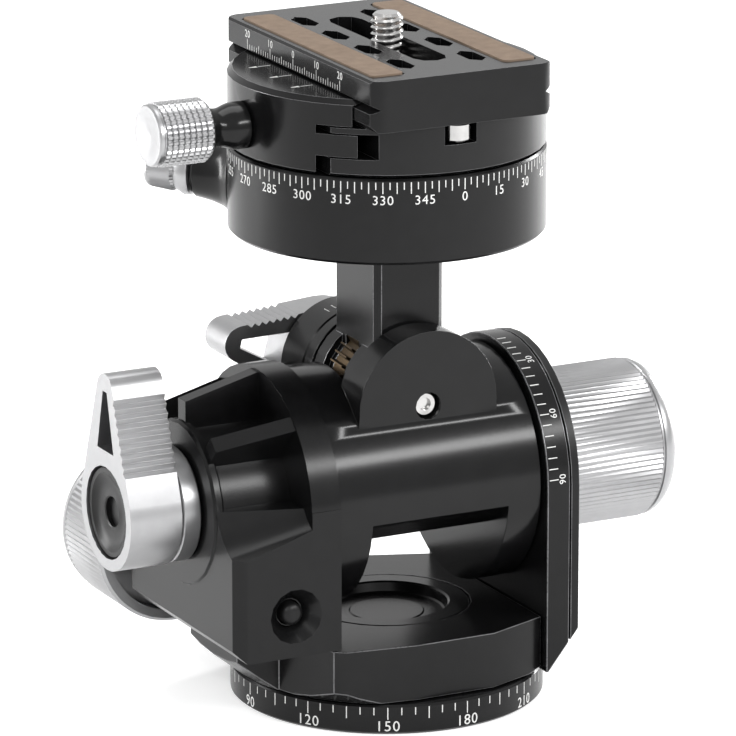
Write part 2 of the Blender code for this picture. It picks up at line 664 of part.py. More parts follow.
def make_right_upright():
    axis = (0, TILT_Z)
    end = UPRIGHT_X + UPRIGHT_THICKNESS
    bore_radius = TRUNNION_RADIUS + GAP + TRUNNION_WALL + GAP
    upright = extruded(ALONG_X, arch_outline(UPRIGHT_RADIUS, TILT_Z, FLOOR_Z), UPRIGHT_X, end)
    cut(upright, right_undercut(), rod(ALONG_X, axis, bore_radius, UPRIGHT_X - CUT, end + CUT, ROUND))
    piece(upright, "right_upright", "black_anodised")

    cover = extruded(ALONG_X, arch_outline(UPRIGHT_RADIUS, TILT_Z, FLOOR_Z), COVER_X, COVER_END)
    hole = rod(ALONG_X, axis, TRUNNION_RADIUS + GAP, COVER_X - CUT, COVER_END + CUT, ROUND)
    cut(cover, right_undercut(), hole)
    piece(cover, "right_cover", "black_satin")

    inner = TRUNNION_RADIUS + GAP
    bush = ring(ALONG_X, axis, inner, bore_radius - GAP, UPRIGHT_X, end, ROUND)
    piece(bush, "right_trunnion_bush", "brass")


def right_undercut():
    """Cuts the upright's foot along a diagonal above the base ring."""
    start = UPRIGHT_X + EDGE
    outline = [(start, FLOOR_Z - CUT), (COVER_END + CUT, FLOOR_Z - CUT)]
    rise = (COVER_END + CUT - start) * UPRIGHT_UNDERCUT_SLOPE
    outline += [(COVER_END + CUT, FLOOR_Z + rise), (start, FLOOR_Z)]
    reach = UPRIGHT_RADIUS + CUT
    return extruded(ALONG_Y, outline, -reach, reach)


def make_left_worm():
    centre = (LEFT_WORM_X, LEFT_WORM_Z)
    pivot = (LEFT_WORM_X, 0, LEFT_WORM_Z)
    knob_low = UPRIGHT_RADIUS + WORM_BOSS_LENGTH + GAP
    knob_high = knob_low + LEFT_KNOB_LENGTH
    shaft_end = knob_low + LEFT_KNOB_LENGTH * KNOB_SOCKET_SHARE
    shaft = worm(ALONG_Y, centre, 0, shaft_end)
    screw_low = knob_high - KNOB_DISH - KNOB_SCREW_HEAD_HEIGHT - KNOB_SCREW_LENGTH
    cut(shaft, rod(ALONG_Y, centre, KNOB_SCREW_RADIUS + GAP, screw_low - GAP, shaft_end + CUT))
    piece(shaft, "left_worm", "steel", pivot)
    knob = knob_body(ALONG_Y, centre, LEFT_KNOB_RADIUS, knob_low, knob_high, shaft_end)
    piece(knob, "left_knob", "silver_anodised", pivot)
    piece(knob_screw(ALONG_Y, centre, knob_high), "left_knob_screw", "steel", pivot)


def knob_body(frame, centre, radius, low, high, socket_end):
    """A dished knob with a socket for the shaft and a seat for its screw."""
    shaft_bore = WORM_SHAFT_RADIUS + GAP
    screw_bore = KNOB_SCREW_RADIUS + GAP
    head_bore = KNOB_SCREW_HEAD + GAP
    seat = high - KNOB_DISH - KNOB_SCREW_HEAD_HEIGHT
    inside = radius - KNOB_RIM
    boss = shaft_bore + KNOB_RIM
    profile = [(shaft_bore, low), (boss, low), (boss, low + KNOB_DISH), (inside, low + KNOB_DISH)]
    profile += [(inside, low), (radius - EDGE, low), (radius, low + EDGE)]
    profile += [(radius, high - KNOB_CHAMFER), (radius - KNOB_CHAMFER, high), (inside, high)]
    profile += [(inside - EDGE, high - KNOB_DISH), (head_bore, high - KNOB_DISH), (head_bore, seat)]
    profile += [(screw_bore, seat), (screw_bore, socket_end + GAP), (shaft_bore, socket_end + GAP)]
    return turned(frame, centre, profile, FINE)


def knob_screw(frame, centre, high):
    """The socket screw that holds a knob on its shaft."""
    top = high - KNOB_DISH
    seat = top - KNOB_SCREW_HEAD_HEIGHT + GAP
    low = top - KNOB_SCREW_HEAD_HEIGHT - KNOB_SCREW_LENGTH
    socket = KNOB_SCREW_RADIUS
    profile = [(0, low), (KNOB_SCREW_RADIUS, low), (KNOB_SCREW_RADIUS, seat)]
    profile += [(KNOB_SCREW_HEAD, seat), (KNOB_SCREW_HEAD, top), (socket, top)]
    profile += [(socket, seat + EDGE), (0, seat + EDGE)]
    return turned(frame, centre, profile, TINY)


def make_barrel():
    axis = (0, TILT_Z)
    roll = (0, ROLL_Z)
    barrel = rod(ALONG_X, axis, BARREL_RADIUS, -BARREL_HALF_WIDTH, BARREL_HALF_WIDTH, FINE, EDGE)
    slot_front = -POST_FRONT - GAP - EDGE
    slot_rear = POST_REAR + GAP
    ring_low = slot_rear + REAR_WALL
    front = extruded(ALONG_Y, shifted_arch(ARCH_RADIUS), -ARCH_FACE, slot_front + CUT)
    rear = extruded(ALONG_Y, shifted_arch(REAR_ARCH_RADIUS), slot_rear, ring_low + CUT)
    trunnion_end = COVER_END - GAP
    right = rod(ALONG_X, axis, TRUNNION_RADIUS, 0, trunnion_end, ROUND)
    left = rod(ALONG_X, axis, LEFT_TRUNNION_RADIUS, WHEEL_FACE_X, -BARREL_HALF_WIDTH + CUT, ROUND)
    joined(barrel, front, rear, right, left)

    swing = WHEEL_TIP + GAP + GAP
    slot = arc(roll, swing, 180, 360, ROUND // 2)
    slot += [(swing, ROLL_Z + ARCH_RADIUS + CUT), (-swing, ROLL_Z + ARCH_RADIUS + CUT)]
    wheel_slot = extruded(ALONG_Y, slot, slot_front, slot_rear)
    ring_end = ring_low + SCALE_RING_WIDTH
    seat_radius = REAR_ARCH_RADIUS + GAP + GAP
    rear_end = BARREL_RADIUS + CUT
    ring_seat = rod(ALONG_Y, roll, seat_radius, ring_low, rear_end, ROUND)
    wide = BARREL_HALF_WIDTH + CUT
    rear_flat = block((-wide, ring_end, TILT_Z - rear_end), (wide, rear_end, TILT_Z + rear_end))
    pin_hole = rod(ALONG_Y, roll, ARCH_HOLE, -BARREL_RADIUS - CUT, ring_end)
    worm_bore = rod(ALONG_X, axis, WORM_BORE, -WORM_LENGTH / 2 - CUT, trunnion_end + CUT)
    spindle_end = -BARREL_HALF_WIDTH + CUT
    spindle_hole = rod(ALONG_X, axis, SPINDLE_RADIUS + GAP, WHEEL_FACE_X - CUT, spindle_end)
    flat_top = TILT_Z - BARREL_FLAT_DROP
    flat_low = TILT_Z - rear_end
    recess_top = TILT_Z - BARREL_RECESS_DROP
    half = BARREL_FLAT_HALF_WIDTH
    under = [(-rear_end, flat_low), (rear_end, flat_low), (rear_end, flat_top), (-BARREL_FLAT_REACH, flat_top)]
    flat = extruded(ALONG_X, under + [(-rear_end, recess_top)], -half, half)
    cut(barrel, wheel_slot, ring_seat, rear_flat, pin_hole, worm_bore, spindle_hole, flat)
    pivot = (0, 0, TILT_Z)
    piece(barrel, "barrel_body", "black_anodised", pivot)

    inner = PIN_RADIUS + GAP
    low = ring_low + GAP
    scale = ring(ALONG_Y, roll, inner, REAR_ARCH_RADIUS, low, ring_end, ROUND, EDGE)
    piece(scale, "roll_scale_ring", "black_satin", pivot)

    low = LEFT_WORM_X - GEAR_WIDTH / 2
    wheel = worm_wheel(ALONG_X, axis, low, SPINDLE_RADIUS + GAP)
    piece(wheel, "tilt_worm_wheel", "brass", pivot)

    tip = HUB_X - GAP - COLLAR_LENGTH - GAP - LEVER_WIDTH + LEVER_CAP_DEPTH + GAP
    spindle = rod(ALONG_X, axis, SPINDLE_RADIUS, tip, spindle_end - GAP)
    piece(spindle, "tilt_spindle", "steel", pivot)

    inner = WORM_SHAFT_RADIUS + GAP
    low = trunnion_end - WORM_BUSH_LENGTH
    bush = ring(ALONG_X, axis, inner, WORM_BORE - GAP, low, trunnion_end, SMALL)
    piece(bush, "right_worm_bush", "brass", pivot)


def shifted_arch(radius):
    return arch_outline(radius, ROLL_Z, TILT_Z - BLOCK_CHAMFER)


def make_right_worm():
    centre = (0, TILT_Z)
    pivot = (0, 0, TILT_Z)
    knob_low = COVER_END + GAP
    knob_high = knob_low + RIGHT_KNOB_LENGTH
    shaft_end = knob_low + RIGHT_KNOB_LENGTH * KNOB_SOCKET_SHARE
    shaft = worm(ALONG_X, centre, 0, shaft_end)
    screw_low = knob_high - KNOB_DISH - KNOB_SCREW_HEAD_HEIGHT - KNOB_SCREW_LENGTH
    cut(shaft, rod(ALONG_X, centre, KNOB_SCREW_RADIUS + GAP, screw_low - GAP, shaft_end + CUT))
    piece(shaft, "right_worm", "steel", pivot)
    knob = knob_body(ALONG_X, centre, RIGHT_KNOB_RADIUS, knob_low, knob_high, shaft_end)
    piece(knob, "right_knob", "silver_anodised", pivot)
    piece(knob_screw(ALONG_X, centre, knob_high), "right_knob_screw", "steel", pivot)


def lever_outline(hub, arm, grooves, pitch):
    """A hub with an arm that narrows to a round tip; the arm points up and is grooved on one side."""
    lean = math.degrees(math.asin((hub - LEVER_TIP_RADIUS) / arm))
    outline = arc((0, arm), LEVER_TIP_RADIUS, lean, 180 - lean, TINY)
    outline += arc((0, 0), hub, 180 - lean, 360 + lean, ROUND * 3 // 4)
    side = Vector((-math.sin(math.radians(lean)), math.cos(math.radians(lean))))
    inward = Vector((-side.y, side.x))
    start = Vector(outline[0]) - side * (grooves + 1) * pitch
    for i in range(grooves):
        ridge = start + side * i * pitch
        valley = ridge + side * pitch / 2 + inward * LEVER_GROOVE_DEPTH
        outline += [tuple(ridge), tuple(valley)]
    outline.append(tuple(start + side * grooves * pitch))
    return outline


def lever_window(hub, arm):
    """The tapered hole through a lever's arm."""
    low = hub + LEVER_WINDOW_WALL / 2
    high = arm + LEVER_TIP_RADIUS - LEVER_WINDOW_WALL * 2
    wide = LEVER_TIP_RADIUS
    return [(-wide, low), (wide, low), (LEVER_WINDOW_WALL / 2, high), (-LEVER_WINDOW_WALL / 2, high)]


def turned_about(outline, centre, side, lean):
    """Puts an outline drawn about the origin at a centre, mirrored by side and turned by lean."""
    c, s = math.cos(math.radians(lean)), math.sin(math.radians(lean))
    points = [(a * side, b) for a, b in outline]
    return [(centre[0] + a * c - b * s, centre[1] + a * s + b * c) for a, b in points]


def lever_body(frame, outline, window, centre, faces, cap_radius, bore):
    """A clamping lever. Its faces are the free one, with the cap's seat, and the one on its collar."""
    outer, inner = faces
    into = math.copysign(1, inner - outer)
    low, high = min(faces), max(faces)
    lever = extruded(frame, outline, low, high)
    hole = extruded(frame, window, low - CUT, high + CUT)
    seat_ends = sorted((outer - into * CUT, outer + into * LEVER_CAP_DEPTH))
    seat = rod(frame, centre, cap_radius + GAP, *seat_ends, ROUND)
    return cut(lever, hole, seat, rod(frame, centre, bore, low - CUT, high + CUT))


def lever_cap(frame, centre, outer, into, radius):
    """The dished black insert in a lever's free face."""
    back = outer + into * (LEVER_CAP_DEPTH - GAP)
    face = outer + into * EDGE
    dish = outer + into * LEVER_CAP_DEPTH / 2
    rim = radius - EDGE * 2
    profile = [(0, back), (radius, back), (radius, face), (rim, face)]
    profile += [(LEVER_CAP_HOLE + EDGE, dish - into * EDGE), (LEVER_CAP_HOLE, dish - into * EDGE)]
    profile += [(LEVER_CAP_HOLE, dish + into * EDGE), (0, dish + into * EDGE)]
    return turned(frame, centre, profile, ROUND)


def make_left_lever():
    centre = (0, TILT_Z)
    pivot = (0, 0, TILT_Z)
    inner = HUB_X - GAP - COLLAR_LENGTH - GAP
    outer = inner - LEVER_WIDTH
    outline = lever_outline(LEVER_HUB_RADIUS, LEVER_ARM, LEVER_GROOVES, LEVER_GROOVE_PITCH)
    outline = turned_about(outline, centre, -1, 0)
    window = turned_about(lever_window(LEVER_HUB_RADIUS, LEVER_ARM), centre, -1, 0)
    faces = (outer, inner)
    bore = SPINDLE_RADIUS + GAP
    lever = lever_body(ALONG_X, outline, window, centre, faces, LEVER_CAP_RADIUS, bore)
    piece(lever, "left_lever", "silver_anodised", pivot)
    piece(lever_cap(ALONG_X, centre, outer, 1, LEVER_CAP_RADIUS), "left_lever_cap", "black_satin", pivot)


def make_rear_lever():
    centre = (0, ROLL_Z)
    pivot = (0, 0, ROLL_Z)
    inner = POST_REAR + GAP + REAR_WALL + SCALE_RING_WIDTH + GAP
    outer = inner + REAR_LEVER_WIDTH
    lean = 90 - REAR_LEVER_TILT
    hub, arm = REAR_LEVER_HUB_RADIUS, REAR_LEVER_ARM
    outline = lever_outline(hub, arm, REAR_LEVER_GROOVES, REAR_LEVER_GROOVE_PITCH)
    outline = turned_about(outline, centre, 1, lean)
    window = turned_about(lever_window(hub, arm), centre, 1, lean)
    faces = (outer, inner)
    bore = PIN_RADIUS + GAP
    lever = lever_body(ALONG_Y, outline, window, centre, faces, REAR_LEVER_CAP_RADIUS, bore)
    piece(lever, "rear_lever", "silver_anodised", pivot)
    cap = lever_cap(ALONG_Y, centre, outer, -1, REAR_LEVER_CAP_RADIUS)
    piece(cap, "rear_lever_cap", "black_satin", pivot)


def make_post():
    roll = (0, ROLL_Z)
    pivot = (0, 0, ROLL_Z)
    top = DRUM_Z - GAP
    wide, front, rear, nip = POST_HALF_WIDTH, -POST_FRONT, POST_REAR, POST_CHAMFER
    outline = [(wide - nip, front), (wide, front + nip), (wide, rear - nip), (wide - nip, rear)]
    outline += [(nip - wide, rear), (-wide, rear - nip), (-wide, front + nip), (nip - wide, front)]
    post = extruded(ALONG_Z, outline, ROLL_Z + CUT, top)
    step = math.sqrt(WORM_TIP**2 - (CENTRES - CHEEK_RADIUS - GAP) ** 2) + GAP
    low, high = front + CHEEK_INSET, rear - CHEEK_INSET
    profile = [(0, low), (CHEEK_RADIUS, low), (CHEEK_RADIUS, -step), (WHEEL_HUB_RADIUS, -step)]
    profile += [(WHEEL_HUB_RADIUS, step), (CHEEK_RADIUS, step), (CHEEK_RADIUS, high), (0, high)]
    joined(post, turned(ALONG_Y, roll, profile, ROUND))
    half = GEAR_WIDTH / 2 + GAP
    wheel_slot = rod(ALONG_Y, roll, WHEEL_TIP + GAP, -half, half, ROUND)
    pin_hole = rod(ALONG_Y, roll, PIN_RADIUS + GAP, front - CUT, rear + CUT)
    bolt_low = DRUM_Z + DRUM_FLOOR - DRUM_BOLT_LENGTH - GAP
    bolt_hole = rod(ALONG_Z, (0, 0), DRUM_BOLT_RADIUS + GAP, bolt_low, top + CUT)
    cut(post, wheel_slot, pin_hole, bolt_hole)
    piece(post, "post", "black_anodised", pivot)

    wheel = worm_wheel(ALONG_Y, roll, -GEAR_WIDTH / 2, PIN_RADIUS + GAP)
    piece(wheel, "roll_worm_wheel", "brass", pivot)

    lever_inner = POST_REAR + GAP + REAR_WALL + SCALE_RING_WIDTH + GAP
    tip = lever_inner + REAR_LEVER_WIDTH - LEVER_CAP_DEPTH - GAP
    pin = rod(ALONG_Y, roll, PIN_RADIUS, -ARCH_FACE + PIN_RECESS, tip, SMALL, EDGE)
    piece(pin, "roll_pin", "steel", pivot)


def lock_frame():
    """Maps (across, up, along) so that along runs outwards at the lock's angle."""
    turn = Matrix.Rotation(math.radians(LOCK_ANGLE), 4, "Z")
    return Matrix.Translation((0, 0, DRUM_Z + DRUM_HEIGHT / 2)) @ turn @ ALONG_X


def make_drum():
    pivot = (0, 0, ROLL_Z)
    floor = DRUM_Z + DRUM_FLOOR
    bore = BUSH_RADIUS + GAP
    bolt_hole = DRUM_BOLT_RADIUS + GAP
    profile = [(bolt_hole, DRUM_Z), (DRUM_RADIUS - EDGE, DRUM_Z), (DRUM_RADIUS, DRUM_Z + EDGE)]
    profile += [(DRUM_RADIUS, DRUM_TOP - EDGE), (DRUM_RADIUS - EDGE, DRUM_TOP), (bore, DRUM_TOP)]
    profile += [(bore, floor), (bolt_hole, floor)]
    drum = turned(ALONG_Z, (0, 0), profile, FINE)
    frame = lock_frame()
    inside = DRUM_RADIUS - CUT
    length = LOCK_BOSS_REACH - EDGE - inside
    spread = LOCK_BOSS_RADIUS - LOCK_BOSS_END_RADIUS
    boss = [(0, inside)]
    boss += [(LOCK_BOSS_END_RADIUS + spread * b, inside + length * a) for a, b in LOCK_BOSS_FLARE_SHARES]
    boss += [(LOCK_BOSS_END_RADIUS - EDGE, LOCK_BOSS_REACH), (0, LOCK_BOSS_REACH)]
    boss = turned(frame, (0, 0), boss, SMALL)
    joined(drum, boss)
    cut(drum, rod(frame, (0, 0), LOCK_SCREW_RADIUS + GAP, BUSH_RADIUS, LOCK_BOSS_REACH + CUT, TINY))
    piece(drum, "drum", "black_anodised", pivot)

    low = floor + GAP
    bush = ring(ALONG_Z, (0, 0), BUSH_RADIUS - BUSH_WALL, BUSH_RADIUS, low, DRUM_TOP - GAP, ROUND)
    piece(bush, "pan_bush", "brass", pivot)

    head = floor + GAP
    tip = floor - DRUM_BOLT_LENGTH
    profile = [(0, tip), (DRUM_BOLT_RADIUS, tip), (DRUM_BOLT_RADIUS, head)]
    profile += [(DRUM_BOLT_HEAD_RADIUS, head), (DRUM_BOLT_HEAD_RADIUS, head + DRUM_BOLT_HEAD_HEIGHT)]
    profile += [(0, head + DRUM_BOLT_HEAD_HEIGHT)]
    piece(turned(ALONG_Z, (0, 0), profile, SMALL), "drum_bolt", "steel", pivot)


def make_pan_lock():
    frame = lock_frame()
    pivot = (0, 0, DRUM_Z + DRUM_HEIGHT / 2)
    low = LOCK_BOSS_REACH + GAP
    high = low + LOCK_KNOB_LENGTH
    screw_end = low + LOCK_KNOB_LENGTH * KNOB_SOCKET_SHARE
    bore = LOCK_SCREW_RADIUS + GAP
    grip_low = low + LOCK_COLLAR_LENGTH
    profile = [(0, screw_end + GAP), (bore, screw_end + GAP), (bore, low)]
    profile += [(LOCK_COLLAR_RADIUS, low), (LOCK_KNOB_RADIUS - EDGE, grip_low)]
    profile += [(LOCK_KNOB_RADIUS, grip_low + EDGE), (LOCK_KNOB_END_RADIUS, high - EDGE)]
    profile += [(LOCK_KNOB_END_RADIUS - EDGE, high), (0, high)]
    piece(turned(frame, (0, 0), profile, ROUND), "pan_lock_knob", "silver_anodised", pivot)
    screw = rod(frame, (0, 0), LOCK_SCREW_RADIUS, BUSH_RADIUS + GAP + GAP, screw_end, TINY)
    piece(screw, "pan_lock_screw", "steel", pivot)


def clamp_disc():
    """The full disc of the clamp, from which the base and the moving jaw are cut."""
    high = CLAMP_TOP
    profile = [(0, CLAMP_Z), (DRUM_RADIUS - EDGE, CLAMP_Z), (DRUM_RADIUS, CLAMP_Z + EDGE)]
    profile += [(DRUM_RADIUS, high - EDGE * 2), (DRUM_RADIUS - EDGE * 2, high), (0, high)]
    return turned(ALONG_Z, (0, 0), profile, FINE)


def channel():
    """The plate's channel with its two overhanging lips."""
    wall = PLATE_HALF_WIDTH + GAP
    floor = CLAMP_TOP - CHANNEL_DEPTH
    middle = PLATE_Z + GROOVE_CENTRE
    lip = PLATE_HALF_WIDTH - GROOVE_DEPTH + GAP + GAP
    shoulder = middle - GROOVE_HALF_HEIGHT + GAP
    mouth = CLAMP_TOP + CUT
    spread = lip + (mouth - middle) * GROOVE_DEPTH / GROOVE_HALF_HEIGHT / 2
    half = [(wall, floor), (wall, shoulder), (lip, middle), (spread, mouth)]
    outline = half + [(-a, b) for a, b in reversed(half)]
    reach = DRUM_RADIUS + CUT
    return extruded(ALONG_Y, outline, -reach, reach)


def jaw_side(extra):
    """The moving jaw's side of the clamp, grown by extra towards the fixed side."""
    reach = DRUM_RADIUS + CUT
    split = -JAW_SPLIT - JAW_OPENING + extra
    air = GAP if extra else 0
    lip_low = CLAMP_TOP - CHANNEL_DEPTH - air
    lip_end = -PLATE_HALF_WIDTH + GROOVE_DEPTH
    body = block((-reach, -reach, CLAMP_Z - CUT), (split, reach, CLAMP_TOP + CUT))
    over = block((split - CUT, -reach, lip_low), (lip_end, reach, CLAMP_TOP + CUT))
    tongues = []
    for side in (-1, 1):
        near, far = sorted((side * reach, side * (DRUM_RADIUS - TONGUE_DEPTH - air)))
        end = -JAW_SPLIT + (TONGUE_POCKET if extra else TONGUE_LENGTH)
        low = CLAMP_Z + TONGUE_LOW - air
        high = CLAMP_Z + TONGUE_HIGH + air
        tongues.append(block((split - CUT, near, low), (end, far, high)))
    return joined(body, over, *tongues)


def make_clamp():
    pivot = (0, 0, CLAMP_Z)
    base = clamp_disc()
    spigot_low = DRUM_Z + DRUM_FLOOR + GAP + DRUM_BOLT_HEAD_HEIGHT + GAP
    spigot_radius = BUSH_RADIUS - BUSH_WALL - GAP
    joined(base, rod(ALONG_Z, (0, 0), spigot_radius, spigot_low, CLAMP_Z + EDGE, ROUND))
    cut(base, jaw_side(JAW_OPENING), channel())
    z = screw_height()
    screw_hole = rod(ALONG_X, (0, z), CLAMP_SCREW_RADIUS + GAP, -DRUM_RADIUS, -CLAMP_SCREW_REACH + CUT)
    tools = [screw_hole]
    for side in (-1, 1):
        place = (side * GUIDE_PIN_PLACE, z)
        pin_end = -JAW_SPLIT + GUIDE_PIN_REACH
        tools.append(rod(ALONG_X, place, GUIDE_PIN_RADIUS + GAP, -DRUM_RADIUS, pin_end + GAP, TINY))
        pocket_end = -JAW_SPLIT + SPRING_LENGTH - JAW_OPENING
        tools.append(rod(ALONG_X, place, SPRING_RADIUS + SPRING_WIRE + GAP, -DRUM_RADIUS, pocket_end, TINY))
        tools.append(stop_slot(side))
    cut(base, *tools)
    piece(base, "clamp_base", "black_anodised", pivot)


def stop_slot(side):
    """The open slot under the plate's end in which a stop screw travels."""
    reach = DRUM_RADIUS + CUT
    screw_y = PLATE_HALF_LENGTH - STOP_SCREW_INSET
    inner = screw_y - PLATE_TRAVEL - STOP_SCREW_RADIUS - GAP
    floor = CLAMP_TOP - CHANNEL_DEPTH
    low, high = sorted((side * inner, side * reach))
    corner = (-STOP_SLOT_HALF_WIDTH, low, floor - STOP_SLOT_DEPTH)
    return block(corner, (STOP_SLOT_HALF_WIDTH, high, floor + GAP))


def screw_height():
    return CLAMP_TOP - CLAMP_SCREW_DROP


def make_jaw():
    pivot = (-DRUM_RADIUS, 0, screw_height())
    jaw = clamp_disc()
    keep = jaw_side(0)
    boolean(jaw, [keep], "INTERSECT")
    z = screw_height()
    bore = CLAMP_SCREW_RADIUS + GAP
    cut(jaw, channel(), rod(ALONG_X, (0, z), bore, -DRUM_RADIUS - CUT, 0))
    for side in (-1, 1):
        place = (side * GUIDE_PIN_PLACE, z)
        low = -JAW_SPLIT - JAW_OPENING - GUIDE_PIN_SEAT - GAP
        cut(jaw, rod(ALONG_X, place, GUIDE_PIN_RADIUS + GAP, low, 0, TINY))
    piece(jaw, "moving_jaw", "black_anodised", pivot)

    for side, name in ((-1, "front"), (1, "rear")):
        place = (side * GUIDE_PIN_PLACE, z)
        low = -JAW_SPLIT - JAW_OPENING - GUIDE_PIN_SEAT
        pin = rod(ALONG_X, place, GUIDE_PIN_RADIUS, low, -JAW_SPLIT + GUIDE_PIN_REACH, TINY)
        piece(pin, name + "_guide_pin", "steel", pivot)
        start = -JAW_SPLIT - JAW_OPENING + GAP + SPRING_WIRE
        section = arc((SPRING_RADIUS, 0), SPRING_WIRE, 45, 315, 3)
        lead = (SPRING_LENGTH - GAP - GAP - SPRING_WIRE * 2) / SPRING_TURNS
        rows = helix_rows(ALONG_X, place, section, lead, SPRING_TURNS, start, 0, TINY)
        print(f"{name} jaw spring: least gap to itself {least_gap(rows, TINY) * MM:.2f} mm")
        piece(swept(rows), name + "_jaw_spring", "steel", (0, 0, CLAMP_Z))


def make_clamp_knob():
    z = screw_height()
    centre = (0, z)
    pivot = (-DRUM_RADIUS, 0, z)
    neck_end = -DRUM_RADIUS - GAP
    neck_low = neck_end - NECK_LENGTH
    knob_end = neck_low - GAP
    knob_low = knob_end - CLAMP_KNOB_LENGTH
    bore = CLAMP_SCREW_RADIUS + GAP
    profile = [(bore, neck_low), (NECK_RADIUS, neck_low), (NECK_WAIST + EDGE, neck_low + NECK_LENGTH / 3)]
    profile += [(NECK_WAIST + EDGE, neck_low + NECK_LENGTH / 2), (NECK_RADIUS, neck_end), (bore, neck_end)]
    piece(turned(ALONG_X, centre, profile, SMALL), "clamp_neck", "black_anodised", pivot)
    screw_tip = knob_end - CLAMP_KNOB_LENGTH * KNOB_SOCKET_SHARE
    cone = CLAMP_KNOB_RADIUS / 4
    profile = [(0, knob_low + cone / 2), (CLAMP_KNOB_RADIUS - cone, knob_low)]
    profile += [(CLAMP_KNOB_RADIUS, knob_low + cone / 2), (CLAMP_KNOB_RADIUS, knob_end - EDGE)]
    profile += [(CLAMP_KNOB_RADIUS - EDGE, knob_end), (bore, knob_end), (bore, screw_tip - GAP)]
    profile += [(0, screw_tip - GAP)]
    piece(turned(ALONG_X, centre, profile, ROUND), "clamp_knob", "silver_anodised", pivot)
    screw = rod(ALONG_X, centre, CLAMP_SCREW_RADIUS, screw_tip, -CLAMP_SCREW_REACH, SMALL)
    piece(screw, "clamp_screw", "steel", pivot)


def plate_section():
    """Half of the plate's section, from the foot up: foot chamfer, dovetail groove, top chamfer."""
    wide = PLATE_HALF_WIDTH
    middle = PLATE_Z + GROOVE_CENTRE
    depth = wide - GROOVE_DEPTH
    points = [(wide - PLATE_FOOT_CHAMFER, PLATE_Z), (wide, PLATE_Z + PLATE_FOOT_CHAMFER)]
    points += [(wide, middle - GROOVE_HALF_HEIGHT), (depth, middle), (wide, middle + GROOVE_HALF_HEIGHT)]
    points += [(wide, PLATE_TOP - EDGE), (wide - EDGE, PLATE_TOP)]
    return points


def strip_place(side):
    return side * (PLATE_HALF_WIDTH - STRIP_MARGIN - STRIP_WIDTH / 2)


def make_plate():
    pivot = (0, 0, PLATE_Z)
    half = plate_section()
    outline = half + [(-a, b) for a, b in reversed(half)]
    plate = extruded(ALONG_Y, outline, -PLATE_HALF_LENGTH, PLATE_HALF_LENGTH)
    plan = rounded_rectangle(PLATE_HALF_WIDTH + EDGE, PLATE_HALF_LENGTH, PLATE_CORNER)
    trim = extruded(ALONG_Z, plan, PLATE_Z - CUT, PLATE_TOP + CUT)
    boolean(plate, [trim], "INTERSECT")
    slot = slot_outline(PLATE_SLOT_HALF_WIDTH, PLATE_SLOT_HALF_LENGTH)
    tools = [extruded(ALONG_Z, slot, PLATE_Z - CUT, PLATE_TOP + CUT)]
    flange_reach = PLATE_SLOT_HALF_LENGTH + CAMERA_SCREW_FLANGE + GAP - PLATE_SLOT_HALF_WIDTH
    flange_slot = slot_outline(CAMERA_SCREW_FLANGE + GAP, flange_reach)
    flange_top = PLATE_Z + GAP + CAMERA_SCREW_FLANGE_HEIGHT + GAP
    tools.append(extruded(ALONG_Z, flange_slot, PLATE_Z - CUT, flange_top))
    for side in (-1, 1):
        for share in SIDE_SLOT_SHARES:
            small = slot_outline(SIDE_SLOT_HALF_WIDTH, SIDE_SLOT_LENGTH / 2, TINY // 3)
            place = shifted(small, side * SIDE_SLOT_PLACE, share * PLATE_HALF_LENGTH)
            tools.append(extruded(ALONG_Z, place, PLATE_Z - CUT, PLATE_TOP + CUT))
        across = strip_place(side)
        length = PLATE_HALF_LENGTH - STRIP_END_MARGIN
        groove = shifted(rounded_rectangle(STRIP_WIDTH / 2, length, STRIP_CORNER), across, 0)
        tools.append(extruded(ALONG_Z, groove, PLATE_TOP - STRIP_DEPTH, PLATE_TOP + CUT))
        hole = (0, side * (PLATE_HALF_LENGTH - STOP_SCREW_INSET))
        stem_top = PLATE_Z + STOP_SCREW_STEM_LENGTH
        tools.append(rod(ALONG_Z, hole, STOP_SCREW_STEM + GAP, PLATE_Z - CUT, stem_top + GAP, TINY))
    cut(plate, *tools)
    piece(plate, "camera_plate", "black_anodised", pivot)

    for side, name in ((-1, "left"), (1, "right")):
        length = PLATE_HALF_LENGTH - STRIP_END_MARGIN - GAP
        plan = rounded_rectangle(STRIP_WIDTH / 2 - GAP, length, STRIP_CORNER)
        outline = shifted(plan, strip_place(side), 0)
        low = PLATE_TOP - STRIP_DEPTH + GAP
        strip = extruded(ALONG_Z, outline, low, PLATE_TOP + STRIP_PROUD)
        piece(strip, name + "_grip_strip", "cork_rubber", pivot)
    for side, name in ((-1, "front"), (1, "rear")):
        place = (0, side * (PLATE_HALF_LENGTH - STOP_SCREW_INSET))
        low = PLATE_Z - GAP - STOP_SCREW_HEIGHT
        head = PLATE_Z - GAP
        stem_top = PLATE_Z + STOP_SCREW_STEM_LENGTH
        profile = [(0, low), (STOP_SCREW_RADIUS - EDGE, low), (STOP_SCREW_RADIUS, low + EDGE)]
        profile += [(STOP_SCREW_RADIUS, head), (STOP_SCREW_STEM, head), (STOP_SCREW_STEM, stem_top)]
        profile += [(0, stem_top)]
        piece(turned(ALONG_Z, place, profile, SMALL), name + "_stop_screw", "steel", pivot)


